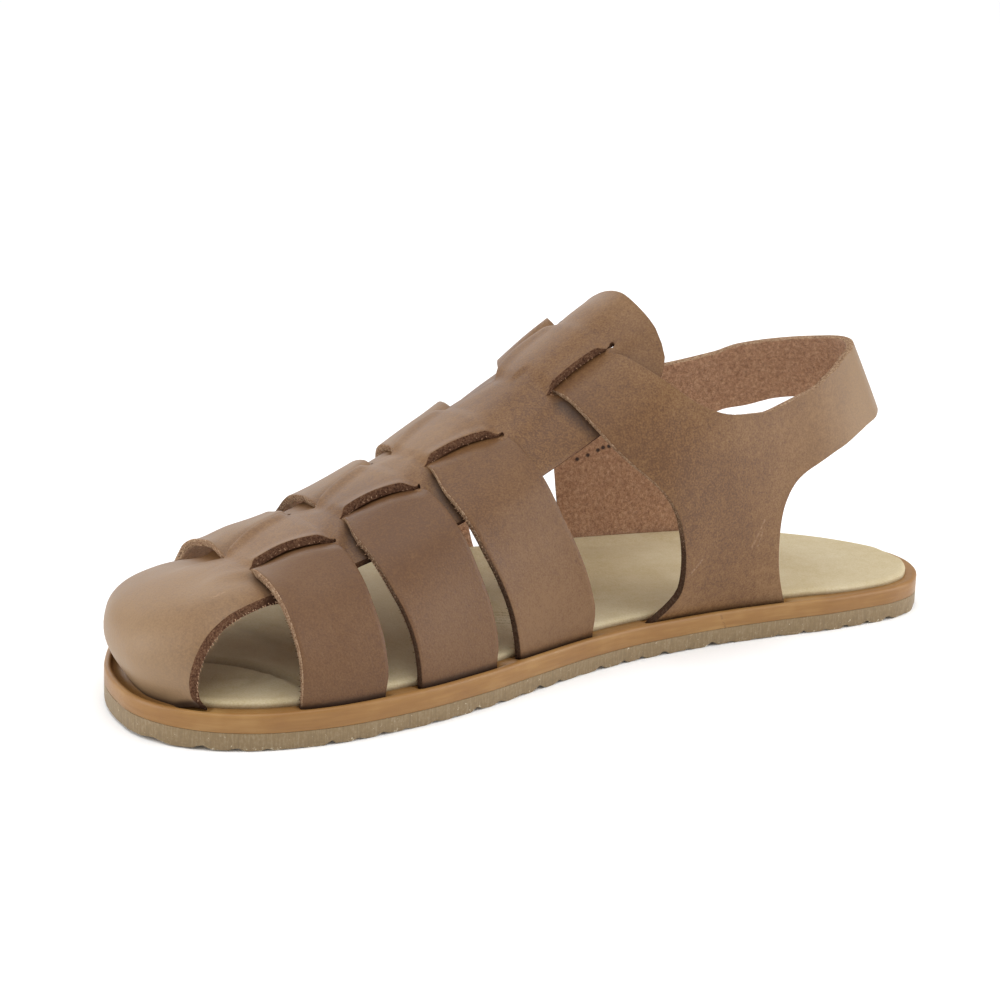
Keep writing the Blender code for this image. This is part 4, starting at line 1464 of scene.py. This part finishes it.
def makeFibres():
    finish, tree, shader, _ = newFinish("loose_fibre", 0.9, 0.1)
    # fibres darkened by painted shade low down
    colour = mixColour(tree, ownValue(tree, "dark"), fibre["pale"], fibre["dark"])
    tree.links.new(colour, shader.inputs["Base Color"])
    bm = bmesh.new()
    darkLayer = bm.verts.layers.float.new("dark")
    for point, ahead, length, low in fibreSpots:
        way = unit(ahead + dice.normal(0, fibre["spread"], 3))
        long = length * dice.uniform(*fibre["lengths"])
        turn = Vector(way).to_track_quat("Z", "Y").to_matrix().to_4x4()
        middle = metres(point + way * long * fibre["out"])
        cone = bmesh.ops.create_cone(
            bm, segments=4, radius1=fibre["thick"] * mm, radius2=fibre["tip"] * mm, depth=long * mm,
            matrix=Matrix.Translation(middle) @ turn)
        for vert in cone["verts"]:
            vert[darkLayer] = low
    return newPiece("loose_fibres", bm, "upper", [finish])


makeFibres()
print(len(fibreSpots), "fibres set")

# floor, lights and camera
studio = {"floor": rgb(253, 253, 253), "floorRough": 0.9, "floorReach": 6.0, "world": 0.56}


def makeFloor():
    bm = bmesh.new()
    bmesh.ops.create_grid(bm, x_segments=1, y_segments=1, size=studio["floorReach"])
    mesh = bpy.data.meshes.new("floor")
    bm.to_mesh(mesh)
    bm.free()
    floor = addObject("floor", mesh)
    finish = bpy.data.materials.new("pale_floor")
    finish.use_nodes = True
    shader = finish.node_tree.nodes["Principled BSDF"]
    shader.inputs["Base Color"].default_value = (*studio["floor"], 1.0)
    shader.inputs["Roughness"].default_value = studio["floorRough"]
    mesh.materials.append(finish)


lamps = {
    # place, aim, size, watts
    "toe_softbox": ((0.8, -0.2, 0.3), (0.05, 0.0, 0.02), 0.6, 3.6),
    "heel_softbox": ((-0.7, 0.45, 0.35), (-0.05, 0.0, 0.03), 0.6, 4.2),
    "back_window": ((-0.15, -0.9, 0.5), (0.0, 0.0, 0.03), 0.8, 2.4),
    "fill": ((0.3, 0.85, 0.3), (0.0, 0.0, 0.02), 0.8, 0.7),
}
overhead = {"from": (0.05, 0.1, 1.0), "strength": 1.5, "spread": 60.0}


def standing(place, right, back):  # matrix of what looks away from back
    spot = np.eye(4)
    spot[:3, :3] = np.column_stack([right, np.cross(back, right), back])
    spot[:3, 3] = place
    return Matrix(spot.tolist())


def aimed(place, aim):
    back = unit(np.array(place) - np.array(aim))
    return standing(place, unit(np.cross((0, 0, 1), back)), back)


def makeLamps():
    for name, (place, aim, size, watts) in lamps.items():
        lamp = bpy.data.lights.new(name, "AREA")
        lamp.energy = watts
        lamp.size = size
        addObject(name, lamp).matrix_world = aimed(place, aim)
    lamp = bpy.data.lights.new("overhead", "SUN")
    lamp.energy = overhead["strength"]
    lamp.angle = math.radians(overhead["spread"])
    addObject("overhead", lamp).matrix_world = aimed(overhead["from"], (0.0, 0.0, 0.0))
    world = bpy.data.worlds.new("studio")
    bpy.context.scene.world = world
    world.use_nodes = True
    sky = world.node_tree.nodes["Background"]
    sky.inputs["Color"].default_value = (1.0, 1.0, 1.0, 1.0)
    sky.inputs["Strength"].default_value = studio["world"]


view = {
    "place": (0.2607, 0.4223, 0.1730),
    "right": (-0.861, 0.5073, 0.0373),
    "up": (-0.1115, -0.2597, 0.9592),
    "lens": 93.17,
    "sensor": 36.0,
    "near": 0.01,
}


def makeCamera():
    eye = bpy.data.cameras.new("photo_view")
    eye.lens = view["lens"]
    eye.sensor_width = view["sensor"]
    eye.sensor_fit = "HORIZONTAL"
    eye.clip_start = view["near"]
    right = unit(np.array(view["right"]))
    holder = addObject("photo_view", eye)
    holder.matrix_world = standing(view["place"], right, unit(np.cross(right, view["up"])))
    bpy.context.scene.camera = holder


makeFloor()
makeLamps()
makeCamera()
bpy.context.scene.view_settings.view_transform = "Standard"
print("studio ready")
